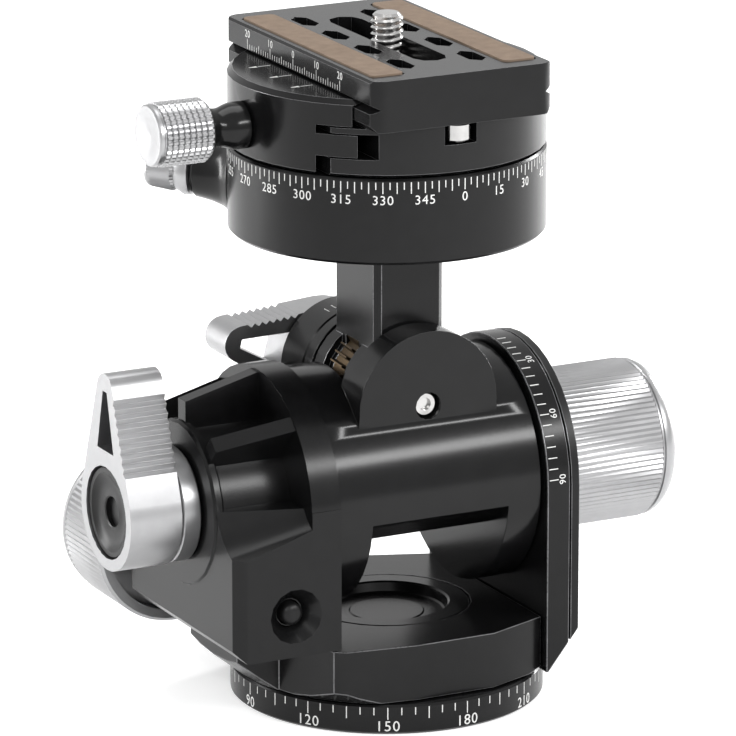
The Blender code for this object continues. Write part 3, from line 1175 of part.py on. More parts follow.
def make_camera_screw():
    low = PLATE_Z + GAP
    flange_top = low + CAMERA_SCREW_FLANGE_HEIGHT
    top = PLATE_TOP + CAMERA_SCREW_RISE
    crest, root = CAMERA_SCREW_RADIUS, CAMERA_SCREW_RADIUS - CAMERA_SCREW_THREAD
    profile = [(0, low), (CAMERA_SCREW_FLANGE, low), (CAMERA_SCREW_FLANGE, flange_top)]
    profile += [(root, flange_top), (root, PLATE_TOP - CAMERA_SCREW_PITCH / 2)]
    for i in range(int((CAMERA_SCREW_RISE - EDGE * 2) / CAMERA_SCREW_PITCH) + 1):
        start = PLATE_TOP + i * CAMERA_SCREW_PITCH
        profile += [(crest, start), (root, start + CAMERA_SCREW_PITCH / 2)]
    profile += [(root, top - EDGE), (root - EDGE, top), (0, top)]
    screw = turned(ALONG_Z, (0, 0), profile, SMALL)
    piece(screw, "camera_screw", "steel", (0, 0, PLATE_Z))


def main():
    clear_scene()
    make_base()
    make_floor()
    make_left_housing()
    make_right_upright()
    make_left_worm()
    make_barrel()
    make_right_worm()
    make_left_lever()
    make_post()
    make_rear_lever()
    make_drum()
    make_pan_lock()
    make_clamp()
    make_jaw()
    make_clamp_knob()
    make_plate()
    make_camera_screw()


main()
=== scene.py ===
"""The dressed model of a geared tripod head, laid out as a Blender add-on and run as a script."""
import json
import math

import bmesh
import bpy
from mathutils import Matrix, Vector

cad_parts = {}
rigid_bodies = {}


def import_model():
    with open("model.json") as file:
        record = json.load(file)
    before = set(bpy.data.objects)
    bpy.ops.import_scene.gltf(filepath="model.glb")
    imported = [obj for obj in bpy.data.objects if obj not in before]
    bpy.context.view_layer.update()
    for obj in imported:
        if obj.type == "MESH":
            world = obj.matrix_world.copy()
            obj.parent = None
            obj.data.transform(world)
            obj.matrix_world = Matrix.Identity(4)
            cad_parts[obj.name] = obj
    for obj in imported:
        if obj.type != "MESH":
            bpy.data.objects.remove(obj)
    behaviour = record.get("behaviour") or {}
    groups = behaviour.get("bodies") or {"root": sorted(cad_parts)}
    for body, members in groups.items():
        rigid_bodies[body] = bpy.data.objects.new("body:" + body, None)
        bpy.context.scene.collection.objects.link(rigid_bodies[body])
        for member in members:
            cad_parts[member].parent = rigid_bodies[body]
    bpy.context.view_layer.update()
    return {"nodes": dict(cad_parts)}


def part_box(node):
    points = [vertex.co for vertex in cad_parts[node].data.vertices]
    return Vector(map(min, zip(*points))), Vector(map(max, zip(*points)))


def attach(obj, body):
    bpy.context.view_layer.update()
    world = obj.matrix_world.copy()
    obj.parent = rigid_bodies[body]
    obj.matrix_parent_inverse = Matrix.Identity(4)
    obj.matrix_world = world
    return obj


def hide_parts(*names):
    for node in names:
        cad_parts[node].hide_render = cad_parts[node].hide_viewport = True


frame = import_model()

bl_info = {
    "name": "Geared tripod head",
    "version": (1, 0, 0),
    "blender": (4, 5, 0),
    "location": "View3D > Sidebar > Geared head",
    "description": "Builds the finished pieces of a geared tripod head around its packed solids",
    "category": "Object",
}

MM = 0.001
AXES = {
    "x": Matrix.Rotation(math.radians(90), 4, "Y"),
    "y": Matrix.Rotation(math.radians(-90), 4, "X"),
    "z": Matrix.Identity(4),
}
LOCK_AXIS = Matrix.Rotation(math.radians(138), 4, "Z") @ AXES["x"]

# Places of the main axes, in millimetres.
TILT_AXIS = (0, 0, 44.0)
LEFT_WORM_AXIS = (-32.2, 0, 26.0)
ROLL_AXIS = (0, 0, 62.0)
LOCK_CENTRE = (0, 0, 102.55)
CLAMP_AXIS = (0, 0, 117.6)

# Turned profiles as (radius, place along the axis), in millimetres. A ring's last point is its first.
BASE_RING = (
    (7.3, 0.3), (7.6, 0), (30.4, 0), (31, 0.5), (31, 5.6), (30.6, 6), (10.5, 6), (10.5, 11.4),
    (2.7, 11.4), (2.7, 7.8), (7.3, 7.8), (7.3, 0.3),
)
FLOOR_CAP = (
    (16.4, 14.3), (16.4, 17.2), (16.1, 17.5), (12.5, 17.5), (12.1, 17.2), (11.6, 15.6), (11.2, 15.3),
    (7.5, 15.3), (7.2, 15.5), (1.0, 15.5),
)
END_PLUG = ((2.3, -12), (2.3, -22.6), (2.2, -23), (1.9, -23.4), (1.4, -23.7), (0.8, -23.84), (0.3, -23.87))
COLLAR = ((3.3, -49.5), (10.9, -49.5), (11.3, -49.1), (11.3, -45.9), (10.9, -45.5), (3.3, -45.5), (3.3, -49.5))
LEFT_CAP = (
    (8.9, -57.4), (8.9, -60.0), (8.7, -60.2), (7.8, -60.2), (7.4, -59.95), (6.6, -59.5), (5.4, -59.2),
    (4.0, -59.3), (3.3, -59.45), (3.0, -59.3), (3.0, -58.4),
)
REAR_CAP = (
    (7.9, 27.5), (7.9, 30.1), (7.7, 30.3), (6.9, 30.3), (6.5, 30.05), (5.8, 29.6), (4.8, 29.35),
    (3.8, 29.4), (3.3, 29.5), (3.0, 29.4), (3.0, 28.5),
)
SCALE_RING = ((2.7, 11.8), (12.4, 11.8), (12.8, 12.2), (12.8, 20.9), (12.4, 21.3), (2.7, 21.3), (2.7, 11.8))
ROLL_PIN = ((1.2, -15.4), (1.3, -16.2), (2.1, -16.3), (2.4, -16.0), (2.4, 26.6), (2.1, 26.9))
DRUM = (
    (3.3, 94.1), (30.4, 94.1), (31, 94.7), (31, 110.6), (30.6, 111), (13.3, 111), (13.3, 99.7),
    (3.3, 99.7), (3.3, 94.1),
)
LOCK_BOSS = (
    (8.4, 29), (8.4, 30.2), (7.9, 30.8), (7.2, 31.5), (6.7, 32.3), (6.3, 33.3), (5.9, 34.4),
    (5.6, 35.6), (5.3, 37), (5.1, 38.1), (4.6, 38.6), (2.1, 38.6), (2.1, 34),
)
NECK = (
    (3.3, -39.1), (4.2, -39.1), (4.1, -38.4), (3.85, -37.6), (3.75, -36.8), (3.85, -36), (4.15, -35.1),
    (4.45, -34.2), (4.6, -33.2), (4.6, -31.3), (3.3, -31.3), (3.3, -39.1),
)
STOP_SCREW = (
    (1.6, 125.3), (1.6, 121.2), (2.5, 121.0), (2.7, 120.8), (2.7, 117.9), (2.4, 117.6), (1.3, 117.6),
    (1.3, 119.2),
)
SCREW_CORE = ((5.3, 121.6), (5.6, 121.9), (5.6, 123.7), (5.3, 124), (2.78, 124), (2.78, 136), (2.3, 136.5))
RIB_FREE_END = 3.6

# Dials: (radius, top of the ticks, step in degrees, count, long every, short and long tick lengths).
BASE_DIAL = (31.0, 5.5, 5.0, 72, 3, 1.5, 2.4)
DRUM_DIAL = (31.0, 110.4, 2.5, 144, 2, 1.4, 2.2)
# The tilt scale on the upright's rim: its radius, and how far it is turned up in degrees.
RIM_RADIUS = 25.0
RIM_LIFT = 3.75
# How far the plate's scale sits behind the plate's middle.
PLATE_SCALE_SHIFT = 1.9
# Turn of each dial about Z, in degrees from -Y towards +X.
BASE_DIAL_TURN = -26.6
DRUM_DIAL_TURN = -28.5

# Meshes: welding distances and a margin in metres, and the angle between faces that count as one flat.
WELD = 2e-6
NODE_WELD = 1e-6
NEAR = 1e-6
FLAT = math.radians(0.8)
# A hexagon's corner against the round hole it starts from, and a digit's height against its font size.
HEX_CORNER = 1.14
DIGIT_SHARE = 0.72
# Finishes: the grain's height in metres, and how much broader the mottling is than the grain.
FINE = 1e-5
MOTTLE = 12

# Lamps: name, place, width, height and power. All of them point at one height over the origin.
LAMPS = (
    ("key_lamp", (-0.55, -0.62, 0.62), 0.42, 0.42, 3.4),
    ("front_strip", (0.39, -0.68, 0.49), 0.8, 0.12, 7.0),
    ("left_strip", (-0.60, 0.50, 0.22), 0.14, 0.6, 7.0),
    ("right_strip", (0.75, 0.29, 0.20), 0.12, 0.6, 6.0),
    ("top_lamp", (0.06, 0.15, 0.95), 0.6, 0.6, 4.0),
)
LAMP_AIM = 0.065
FLOOR_RADIUS = 5

# The photograph's view: turn and lift in degrees, distance and target in metres, focal length in widths.
VIEW_TURN = -26.929
VIEW_LIFT = 15.887
VIEW_AWAY = 1.25
VIEW_TARGET = (-0.0032685, 0.0016603, 0.065148)
SENSOR = 36
FOCAL_SHARE = 6384.65 / 736


class HeadSizes(bpy.types.PropertyGroup):
    """Sizes of the small detail on the finished pieces."""

    edge: bpy.props.FloatProperty(
        name="Edge", description="Width of the broken edges of milled pieces", default=0.00028, unit="LENGTH"
    )
    fine_edge: bpy.props.FloatProperty(
        name="Fine edge", description="Width of the broken edges of small pieces", default=0.00016, unit="LENGTH"
    )
    rib_depth: bpy.props.FloatProperty(
        name="Rib depth", description="Depth of the grip ribs on the big knobs", default=0.00034, unit="LENGTH"
    )
    tick_width: bpy.props.FloatProperty(
        name="Tick width", description="Width of a dial's ticks", default=0.0002, unit="LENGTH"
    )
    tick_proud: bpy.props.FloatProperty(
        name="Tick height", description="How far the paint stands above the metal", default=0.00003, unit="LENGTH"
    )
    dial_number: bpy.props.FloatProperty(
        name="Dial numbers", description="Height of the numbers on the two big dials", default=0.0023, unit="LENGTH"
    )
    rim_number: bpy.props.FloatProperty(
        name="Rim numbers", description="Height of the numbers on the upright's rim", default=0.0014, unit="LENGTH"
    )


class HeadColours(bpy.types.PropertyGroup):
    """Colours of the finishes."""

    black: bpy.props.FloatVectorProperty(
        name="Black", description="Anodised black", default=(0.004, 0.004, 0.0042), size=3, subtype="COLOR"
    )
    # Painted highlight: the edge colour is far lighter than the black, standing in for the bright light on the
    # broken edges.
    worn: bpy.props.FloatVectorProperty(
        name="Edges", description="Black on the broken edges", default=(0.11, 0.11, 0.113), size=3, subtype="COLOR"
    )
    silver: bpy.props.FloatVectorProperty(
        name="Silver", description="Clear anodised aluminium", default=(0.32, 0.32, 0.325), size=3, subtype="COLOR"
    )
    steel: bpy.props.FloatVectorProperty(
        name="Steel", description="Stainless steel", default=(0.42, 0.415, 0.41), size=3, subtype="COLOR"
    )
    # Painted shade: the brass is darkened far below real brass, as the gears and bushes sit in shadow between the
    # parts.
    brass: bpy.props.FloatVectorProperty(
        name="Brass", description="Brass of the gears", default=(0.05, 0.034, 0.018), size=3, subtype="COLOR"
    )
    cork: bpy.props.FloatVectorProperty(
        name="Pads", description="Cork and rubber pads", default=(0.165, 0.122, 0.09), size=3, subtype="COLOR"
    )
    paint: bpy.props.FloatVectorProperty(
        name="Paint", description="White filling of ticks and numbers", default=(0.62, 0.62, 0.61), size=3,
        subtype="COLOR",
    )


# ---- finishes ---------------------------------------------------------------------------------


def new_finish(name):
    made = bpy.data.materials.new(name)
    made.use_nodes = True
    tree = made.node_tree
    return made, tree, tree.nodes["Principled BSDF"]


def grain(tree, scale, detail):
    """A noise on object coordinates, scaled per metre."""
    place = tree.nodes.new("ShaderNodeTexCoord")
    noise = tree.nodes.new("ShaderNodeTexNoise")
    noise.inputs["Scale"].default_value = scale
    noise.inputs["Detail"].default_value = detail
    tree.links.new(place.outputs["Object"], noise.inputs["Vector"])
    return noise.outputs["Fac"]


def spread(tree, value, low, high, stops=(0.3, 0.7)):
    """Maps a noise onto a range of numbers."""
    node = tree.nodes.new("ShaderNodeMapRange")
    node.inputs["From Min"].default_value, node.inputs["From Max"].default_value = stops
    node.inputs["To Min"].default_value, node.inputs["To Max"].default_value = low, high
    tree.links.new(value, node.inputs["Value"])
    return node.outputs["Result"]


def shaded(tree, value, dark, light):
    """Maps a noise onto two tones of one colour."""
    ramp = tree.nodes.new("ShaderNodeValToRGB")
    ramp.color_ramp.elements[0].position, ramp.color_ramp.elements[1].position = 0.3, 0.7
    ramp.color_ramp.elements[0].color = (*dark, 1)
    ramp.color_ramp.elements[1].color = (*light, 1)
    tree.links.new(value, ramp.inputs["Fac"])
    return ramp.outputs["Color"]


def rough(tree, shader, value, strength, distance):
    bump = tree.nodes.new("ShaderNodeBump")
    bump.inputs["Strength"].default_value = strength
    bump.inputs["Distance"].default_value = distance
    tree.links.new(value, bump.inputs["Height"])
    tree.links.new(bump.outputs["Normal"], shader.inputs["Normal"])


def scaled(colour, share):
    return tuple(min(1.0, c * share) for c in colour)


def surface(name, colour, tones, roughness, metallic, specular, scale, bump):
    """A finish with mottled tone, uneven roughness and fine grain."""
    made, tree, shader = new_finish(name)
    broad = grain(tree, scale / MOTTLE, 3)
    fine = grain(tree, scale, 4)
    dark, light = (scaled(colour, tone) for tone in tones)
    tree.links.new(shaded(tree, broad, dark, light), shader.inputs["Base Color"])
    tree.links.new(spread(tree, fine, *roughness), shader.inputs["Roughness"])
    rough(tree, shader, fine, *bump)
    shader.inputs["Metallic"].default_value = metallic
    shader.inputs["Specular IOR Level"].default_value = specular
    made.diffuse_color = (*colour, 1)
    return made


def finishes():
    c = bpy.context.scene.head_colours
    return {
        "black": surface("black_anodised", c.black, (0.8, 1.2), (0.21, 0.27), 0, 0.2, 3800, (0.03, FINE)),
        "gloss": surface("black_gloss", c.black, (0.85, 1.2), (0.16, 0.2), 0, 0.22, 3000, (0.015, FINE)),
        "satin": surface("black_satin", c.black, (0.9, 1.5), (0.34, 0.42), 0, 0.2, 4200, (0.05, FINE)),
        # Painted highlight on the bevels' narrow faces: a lighter, half metallic black.
        "worn": surface("black_painted_edge_highlight", c.worn, (0.7, 1.3), (0.24, 0.34), 0.6, 0.4, 2600, (0.03, FINE)),
        "silver": surface("silver_anodised", c.silver, (0.97, 1.03), (0.3, 0.36), 1, 0.5, 5200, (0.02, FINE)),
        "steel": surface("stainless_steel", c.steel, (0.94, 1.05), (0.16, 0.24), 1, 0.5, 5200, (0.03, FINE)),
        # Painted shade: darkened brass for the gears and bushes.
        "brass": surface("gear_brass", c.brass, (0.8, 1.15), (0.34, 0.46), 1, 0.5, 4200, (0.08, FINE)),
        "cork": surface("cork_rubber_pad", c.cork, (0.88, 1.12), (0.76, 0.9), 0, 0.2, 5200, (0.5, FINE * 5)),
        "paint": surface("white_filling", c.paint, (0.9, 1.05), (0.45, 0.65), 0, 0.3, 6000, (0.05, FINE)),
    }


FINISH = {}


def finish(name):
    if not FINISH:
        FINISH.update(finishes())
    return FINISH[name]


# ---- modelling --------------------------------------------------------------------------------


def select_none():
    for other in bpy.context.view_layer.objects:
        other.select_set(False)


def only(obj):
    """Selects one object alone and makes it active."""
    select_none()
    obj.select_set(True)
    bpy.context.view_layer.objects.active = obj


def editing(obj):
    only(obj)
    bpy.ops.object.mode_set(mode="EDIT")
    bpy.ops.mesh.select_mode(type="VERT")


def done():
    bpy.ops.object.mode_set(mode="OBJECT")


def pick(obj, test):
    """In edit mode, selects the vertices whose place passes a test."""
    mesh = bmesh.from_edit_mesh(obj.data)
    for v in mesh.verts:
        v.select = bool(test(v.co))
    mesh.select_flush(True)
    bmesh.update_edit_mesh(obj.data)


def face_out():
    """Turns all faces outwards and leaves edit mode."""
    bpy.ops.mesh.select_all(action="SELECT")
    bpy.ops.mesh.normals_make_consistent(inside=False)
    done()


def cap_ends(obj):
    """Closes the open ends of a swept mesh."""
    editing(obj)
    bpy.ops.mesh.select_all(action="SELECT")
    bpy.ops.mesh.fill_holes(sides=0)
    face_out()


def settle(obj, matrix):
    """Puts an object at its place and applies it, so that its place is in its mesh."""
    only(obj)
    obj.matrix_world = matrix
    bpy.ops.object.transform_apply(location=True, rotation=True, scale=True)


def smooth(obj, angle=32):
    only(obj)
    bpy.ops.object.shade_smooth_by_angle(angle=math.radians(angle))


def coat(obj, *names):
    obj.data.materials.clear()
    for name in names:
        obj.data.materials.append(finish(name))


def carry(obj, name, body, coats, nodes=()):
    """Names a finished piece, gives it its finish and hands it to its body."""
    obj.name = obj.data.name = name
    if coats:
        coat(obj, *coats)
    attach(obj, body)
    for node in nodes:
        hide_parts(node)
    return obj


def turned(profile, axis, centre=(0, 0, 0), sides=160, shape=None):
    """Turns a profile by extruding a circle; shape may push its vertices before it is placed."""
    ring = profile[0] == profile[-1]
    radius, high = profile[0]
    select_none()
    bpy.ops.mesh.primitive_circle_add(
        vertices=sides, radius=radius * MM, fill_type="NOTHING" if ring else "NGON", location=(0, 0, high * MM)
    )
    obj = bpy.context.active_object
    bpy.ops.object.transform_apply(location=True, rotation=False, scale=False)
    editing(obj)
    bpy.ops.mesh.select_all(action="SELECT")
    for next_radius, next_high in profile[1:]:
        rise = (next_high - high) * MM
        bpy.ops.mesh.extrude_region_move(TRANSFORM_OT_translate={"value": (0, 0, rise)})
        share = next_radius / radius
        if abs(share - 1) > 1e-9:
            bpy.ops.transform.resize(value=(share, share, 1), center_override=(0, 0, next_high * MM))
        radius, high = next_radius, next_high
    if shape:
        shape(obj)
    bpy.ops.mesh.select_all(action="SELECT")
    bpy.ops.mesh.remove_doubles(threshold=WELD)
    face_out()
    matrix = Matrix.Translation(Vector(centre) * MM) @ (AXES[axis] if isinstance(axis, str) else axis)
    settle(obj, matrix)
    smooth(obj)
    return obj


def between(p, low, high):
    return low - NEAR <= p.z <= high + NEAR


def line_of(p, sides):
    """Which of a turned piece's lines of vertices a point is on."""
    return round(math.atan2(p.y, p.x) / (math.tau / sides))


def pulled(low, high, least, test, share):
    """Returns a shape for turned(): moves the outer vertices that pass a test towards the axis."""

    def pull(obj):
        pick(obj, lambda p: between(p, low, high) and p.xy.length >= least and test(p))
        bpy.ops.transform.resize(value=(share, share, 1), center_override=(0, 0, 0))

    return pull


def ribs(sides, every, low, high, depth, radius, least):
    """A shape for turned(): pulls in every so-many-th line of vertices between two places."""
    return pulled(low, high, least, lambda p: line_of(p, sides) % every == 0, (radius - depth) / radius)


def studs(sides, low, high, pitch, depth, radius, least):
    """A shape for turned(): pulls in every other vertex of a grid, for a diamond grip."""

    def even(p):
        return (line_of(p, sides) + round((p.z - low) / pitch)) % 2 == 0

    return pulled(low, high, least, even, (radius - depth) / radius)


def hexed(low, high, radius):
    """A shape for turned(): pushes six lines of a round socket out to a hexagon's corners."""

    def push(obj):
        def hit(p):
            on_wall = between(p, low, high) and abs(p.xy.length - radius) < 0.05 * MM
            return on_wall and round(math.degrees(math.atan2(p.y, p.x))) % 60 == 0

        pick(obj, hit)
        bpy.ops.transform.resize(value=(HEX_CORNER, HEX_CORNER, 1), center_override=(0, 0, 0))

    return push


def copy_of(node, whole=True):
    """A merged, clean copy of a CAD node's mesh; flats with many holes stay cut up when whole is off."""
    source = frame["nodes"][node]
    obj = bpy.data.objects.new("copy", source.data.copy())
    bpy.context.scene.collection.objects.link(obj)
    obj.data.materials.clear()
    only(obj)
    bpy.ops.mesh.customdata_custom_splitnormals_clear()
    editing(obj)
    bpy.ops.mesh.select_all(action="SELECT")
    bpy.ops.mesh.remove_doubles(threshold=NODE_WELD)
    if whole:
        bpy.ops.mesh.dissolve_limited(angle_limit=FLAT)
    else:
        bpy.ops.mesh.tris_convert_to_quads(face_threshold=FLAT, shape_threshold=math.pi)
    face_out()
    return obj


def bevelled(obj, width, rows, least):
    """Breaks the sharp edges; the narrow faces take the second finish."""
    only(obj)
    bevel = obj.modifiers.new("edges", "BEVEL")
    bevel.width = width
    bevel.segments = rows
    bevel.limit_method = "ANGLE"
    bevel.angle_limit = math.radians(least)
    bevel.use_clamp_overlap = True
    # The narrow faces take the second finish, which on most milled pieces is the painted edge highlight.
    bevel.material = 1
    bevel.miter_outer = "MITER_ARC"
    bpy.ops.object.modifier_apply(modifier=bevel.name)
    smooth(obj, least + 6)
    weight = obj.modifiers.new("shading", "WEIGHTED_NORMAL")
    weight.keep_sharp = True
    bpy.ops.object.modifier_apply(modifier=weight.name)


def milled(node, name, body, coats, width, rows=2, least=34, whole=True):
    """A CAD node's shape with its edges broken, as the visible piece."""
    obj = copy_of(node, whole)
    coat(obj, *coats)
    bevelled(obj, width, rows, least)
    obj.name = obj.data.name = name
    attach(obj, body)
    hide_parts(node)
    return obj


def dress(node, name):
    """Gives a kept CAD node a better finish."""
    obj = frame["nodes"][node]
    if not obj.material_slots:
        obj.data.materials.append(finish(name))
    for slot in obj.material_slots:
        slot.material = finish(name)


def joined(parts):
    """Joins finished meshes into the first of them."""
    only(parts[0])
    for part in parts[1:]:
        part.select_set(True)
    bpy.ops.object.join()
    return parts[0]


# ---- ticks and numbers ------------------------------------------------------------------------


def tick(width, length, proud):
    """One painted line, standing on the plane y = 0 and facing -Y, its top at z = 0."""
    select_none()
    sunk = proud * 2
    bpy.ops.mesh.primitive_cube_add(size=1, location=(0, (sunk - proud) / 2, -length / 2))
    obj = bpy.context.active_object
    obj.scale = (width, proud + sunk, length)
    bpy.ops.object.transform_apply(location=True, rotation=False, scale=True)
    editing(obj)
    bpy.ops.mesh.select_mode(type="FACE")
    mesh = bmesh.from_edit_mesh(obj.data)
    for face in mesh.faces:
        face.select = face.normal.y < -0.9
    bmesh.update_edit_mesh(obj.data)
    bpy.ops.mesh.inset(thickness=width / 5, depth=proud / 3)
    done()
    return obj


def dial_ticks(dial, turn, width, proud):
    """A full circle of ticks round the Z axis: every so many of them long."""
    radius, top, step, count, every, short, long = dial
    parts = []
    for k in range(every):
        line = tick(width, (short if k else long) * MM, proud)
        settle(line, Matrix.Translation((0, -radius * MM, top * MM)))
        settle(line, Matrix.Rotation(math.radians(turn + step * k), 4, "Z"))
        parts.append(spun(line, count // every, step * every))
    return parts


def spun(obj, count, step):
    """Repeats a mesh round the Z axis."""
    editing(obj)
    bpy.ops.mesh.select_all(action="SELECT")
    angle = math.radians(step * (count - 1))
    bpy.ops.mesh.spin(steps=count - 1, dupli=True, angle=angle, center=(0, 0, 0), axis=(0, 0, 1))
    done()
    return obj


def number(text, height, proud):
    """A number as a thin mesh: reading along +X, standing on -Y, its middle at the origin."""
    select_none()
    bpy.ops.object.text_add()
    obj = bpy.context.active_object
    obj.data.body = text
    obj.data.size = height / DIGIT_SHARE
    obj.data.align_x = "CENTER"
    obj.data.align_y = "CENTER"
    obj.data.extrude = proud
    obj.data.space_character = 1.12
    obj.data.resolution_u = 4
    only(obj)
    bpy.ops.object.convert(target="MESH")
    obj = bpy.context.active_object
    settle(obj, Matrix.Rotation(math.radians(90), 4, "X"))
    return obj


def wrapped(obj, radius):
    """Bends a flat mark on the plane y = 0 round a Z cylinder, at its -Y side."""
    for v in obj.data.vertices:
        reach, angle = radius - v.co.y, v.co.x / radius
        v.co = Vector((math.sin(angle) * reach, -math.cos(angle) * reach, v.co.z))
    return obj


def ring_numbers(values, step, first_angle, radius, middle, height, proud):
    """Numbers round the Z axis; angles run from -Y towards +X."""
    parts = []
    for i, value in enumerate(values):
        obj = wrapped(number(str(value), height, proud), radius * MM)
        turn = Matrix.Rotation(math.radians(first_angle + step * i), 4, "Z")
        settle(obj, turn @ Matrix.Translation((0, 0, middle * MM)))
        parts.append(obj)
    return parts


# ---- pieces -----------------------------------------------------------------------------------


class HEAD_OT_base(bpy.types.Operator):
    """Turned base ring with its dial, and the threaded insert and bearing inside it."""

    bl_idname = "head.base"
    bl_label = "Base ring"

    def execute(self, context):
        sizes = context.scene.head_sizes
        carry(turned(BASE_RING, "z", sides=240), "base_dial_ring", "base", ["black"], ["base_ring"])
        parts = dial_ticks(BASE_DIAL, BASE_DIAL_TURN, sizes.tick_width, sizes.tick_proud)
        values = [(150 + 30 * i) % 360 for i in range(12)]
        parts += ring_numbers(values, 30, BASE_DIAL_TURN, 31.0, 1.65, sizes.dial_number * 0.93, sizes.tick_proud)
        carry(joined(parts), "base_dial_marks", "base", ["paint"])
        for node in ("tripod_thread_insert", "pan_retainer", "pan_bolt"):
            dress(node, "steel")
        return {"FINISHED"}


class HEAD_OT_floor(bpy.types.Operator):
    """Faceted floor of the yoke and the dished cap over its bearing."""

    bl_idname = "head.floor"
    bl_label = "Yoke floor"

    def execute(self, context):
        sizes = context.scene.head_sizes
        milled("yoke_floor", "faceted_floor", "yoke", ["black", "worn"], sizes.edge)
        carry(turned(FLOOR_CAP, "z", sides=144), "bearing_cap", "yoke", ["black"], ["floor_cap"])
        return {"FINISHED"}


class HEAD_OT_left_housing(bpy.types.Operator):
    """Ribbed left housing of the front tilt, with its end plug, bushes and collar."""

    bl_idname = "head.left_housing"
    bl_label = "Left housing"

    def execute(self, context):
        sizes = context.scene.head_sizes
        milled("left_housing", "ribbed_housing", "yoke", ["black", "gloss"], sizes.edge * 1.8)
        carry(turned(END_PLUG, "y", LEFT_WORM_AXIS, 64), "housing_end_plug", "yoke", ["satin"], ["worm_end_plug"])
        carry(turned(COLLAR, "x", TILT_AXIS, 128), "lever_spacer", "yoke", ["silver"], ["lever_collar"])
        for node in ("left_trunnion_bush", "left_worm_bush", "right_trunnion_bush"):
            dress(node, "brass")
        return {"FINISHED"}


class HEAD_OT_right_side(bpy.types.Operator):
    """Right upright with its cover and the tilt scale on its rim."""

    bl_idname = "head.right_side"
    bl_label = "Right upright"

    def execute(self, context):
        sizes = context.scene.head_sizes
        milled("right_upright", "scale_upright", "yoke", ["black", "worn"], sizes.edge)
        milled("right_cover", "outer_cover", "yoke", ["satin", "worn"], sizes.fine_edge)
        carry(joined(rim_marks(sizes)), "tilt_scale_marks", "yoke", ["paint"])
        return {"FINISHED"}


def rim_marks(sizes):
    """Ticks each 5 degrees and numbers each 30 on the upright's rim, about the tilt axis."""
    parts = []
    low_x, high_x = (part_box("right_upright")[i].x for i in (0, 1))
    radius = RIM_RADIUS * MM

    def put(mark, angle, x):
        settle(mark, Matrix.Rotation(math.radians(-90), 4, "Y"))
        settle(mark, Matrix.Translation((0, -radius, 0)))
        settle(mark, Matrix.Rotation(math.radians(angle - 90 - RIM_LIFT), 4, "X"))
        settle(mark, Matrix.Translation((x, 0, TILT_AXIS[2] * MM)))
        parts.append(mark)

    for angle in range(10, 91, 5):
        put(tick(sizes.tick_width * 0.9, 1.95 * MM, sizes.tick_proud), angle, low_x + 0.45 * MM)
    for value in (30, 60, 90):
        put(number(str(value), sizes.rim_number, sizes.tick_proud), value, high_x - 1.62 * MM)
    return parts


def knob_profile(radius, low, high, socket):
    """A ring profile of a big knob: hollow behind, ribbed grip, plain end band, dished face."""
    band = high - RIB_FREE_END
    return (
        (4.3, low), (6.7, low), (6.7, low + 2.6), (radius - 2.4, low + 2.6), (radius - 2.4, low),
        (radius - 0.6, low), (radius, low + 0.5), (radius, low + 0.9), (radius, band), (radius - 0.5, band + 0.3),
        (radius - 0.5, band + 0.6), (radius - 0.2, band + 0.8), (radius - 0.2, band + 1.5),
        (radius - 0.8, high - 0.9), (radius - 1.7, high), (radius - 2.4, high), (radius - 2.9, high - 0.6),
        (radius - 2.9, high - 2.6), (3.5, high - 2.6), (3.5, high - 4.8), (2.0, high - 4.8), (2.0, socket),
        (4.3, socket), (4.3, low),
    )


def screw_profile(high):
    """A socket screw under a knob's dished face."""
    top = high - 2.6
    return (
        (1.7, top - 10.7), (1.7, top - 1.9), (3.2, top - 1.9), (3.2, top - 0.25), (2.95, top), (1.7, top),
        (1.7, top - 1.4),
    )


def big_knob(name, nodes, body, axis, centre, radius, low, high, socket, count, depth):
    sides = count * 2
    pull = ribs(sides, 2, (low + 0.9) * MM, (high - RIB_FREE_END) * MM, depth, radius * MM, (radius - 1) * MM)
    knob = turned(knob_profile(radius, low, high, socket), axis, centre, sides, pull)
    carry(knob, name, body, ["silver"], [nodes[0]])
    top = high - 2.6
    screw = turned(screw_profile(high), axis, centre, 48, hexed((top - 1.4) * MM, top * MM, 1.7 * MM))
    carry(screw, name + "_screw", body, ["steel"], [nodes[1]])


class HEAD_OT_left_knob(bpy.types.Operator):
    """Left worm drive: ribbed knob behind the housing, its screw and worm."""

    bl_idname = "head.left_knob"
    bl_label = "Left knob"

    def execute(self, context):
        depth = context.scene.head_sizes.rib_depth
        big_knob(
            "front_tilt_knob", ("left_knob", "left_knob_screw"), "left_worm_drive", "y", LEFT_WORM_AXIS,
            radius=16.6, low=29.5, high=49.8, socket=40.96, count=92, depth=depth,
        )
        dress("left_worm", "steel")
        return {"FINISHED"}


class HEAD_OT_right_knob(bpy.types.Operator):
    """Right worm drive: ribbed knob on the barrel's axis, its screw and worm."""

    bl_idname = "head.right_knob"
    bl_label = "Right knob"

    def execute(self, context):
        depth = context.scene.head_sizes.rib_depth
        big_knob(
            "side_tilt_knob", ("right_knob", "right_knob_screw"), "right_worm_drive", "x", TILT_AXIS,
            radius=16.0, low=29.9, high=57.1, socket=45.16, count=90, depth=depth,
        )
        dress("right_worm", "steel")
        return {"FINISHED"}


class HEAD_OT_levers(bpy.types.Operator):
    """The two grooved clamping levers with their dished black inserts."""

    bl_idname = "head.levers"
    bl_label = "Clamping levers"

    def execute(self, context):
        sizes = context.scene.head_sizes
        milled("left_lever", "front_tilt_lever", "left_lever", ["silver", "silver"], sizes.fine_edge)
        insert = turned(LEFT_CAP, "x", TILT_AXIS, 96)
        carry(insert, "front_lever_insert", "left_lever", ["satin"], ["left_lever_cap"])
        milled("rear_lever", "side_tilt_lever", "rear_lever", ["silver", "silver"], sizes.fine_edge)
        insert = turned(REAR_CAP, "y", ROLL_AXIS, 96)
        carry(insert, "rear_lever_insert", "rear_lever", ["satin"], ["rear_lever_cap"])
        return {"FINISHED"}


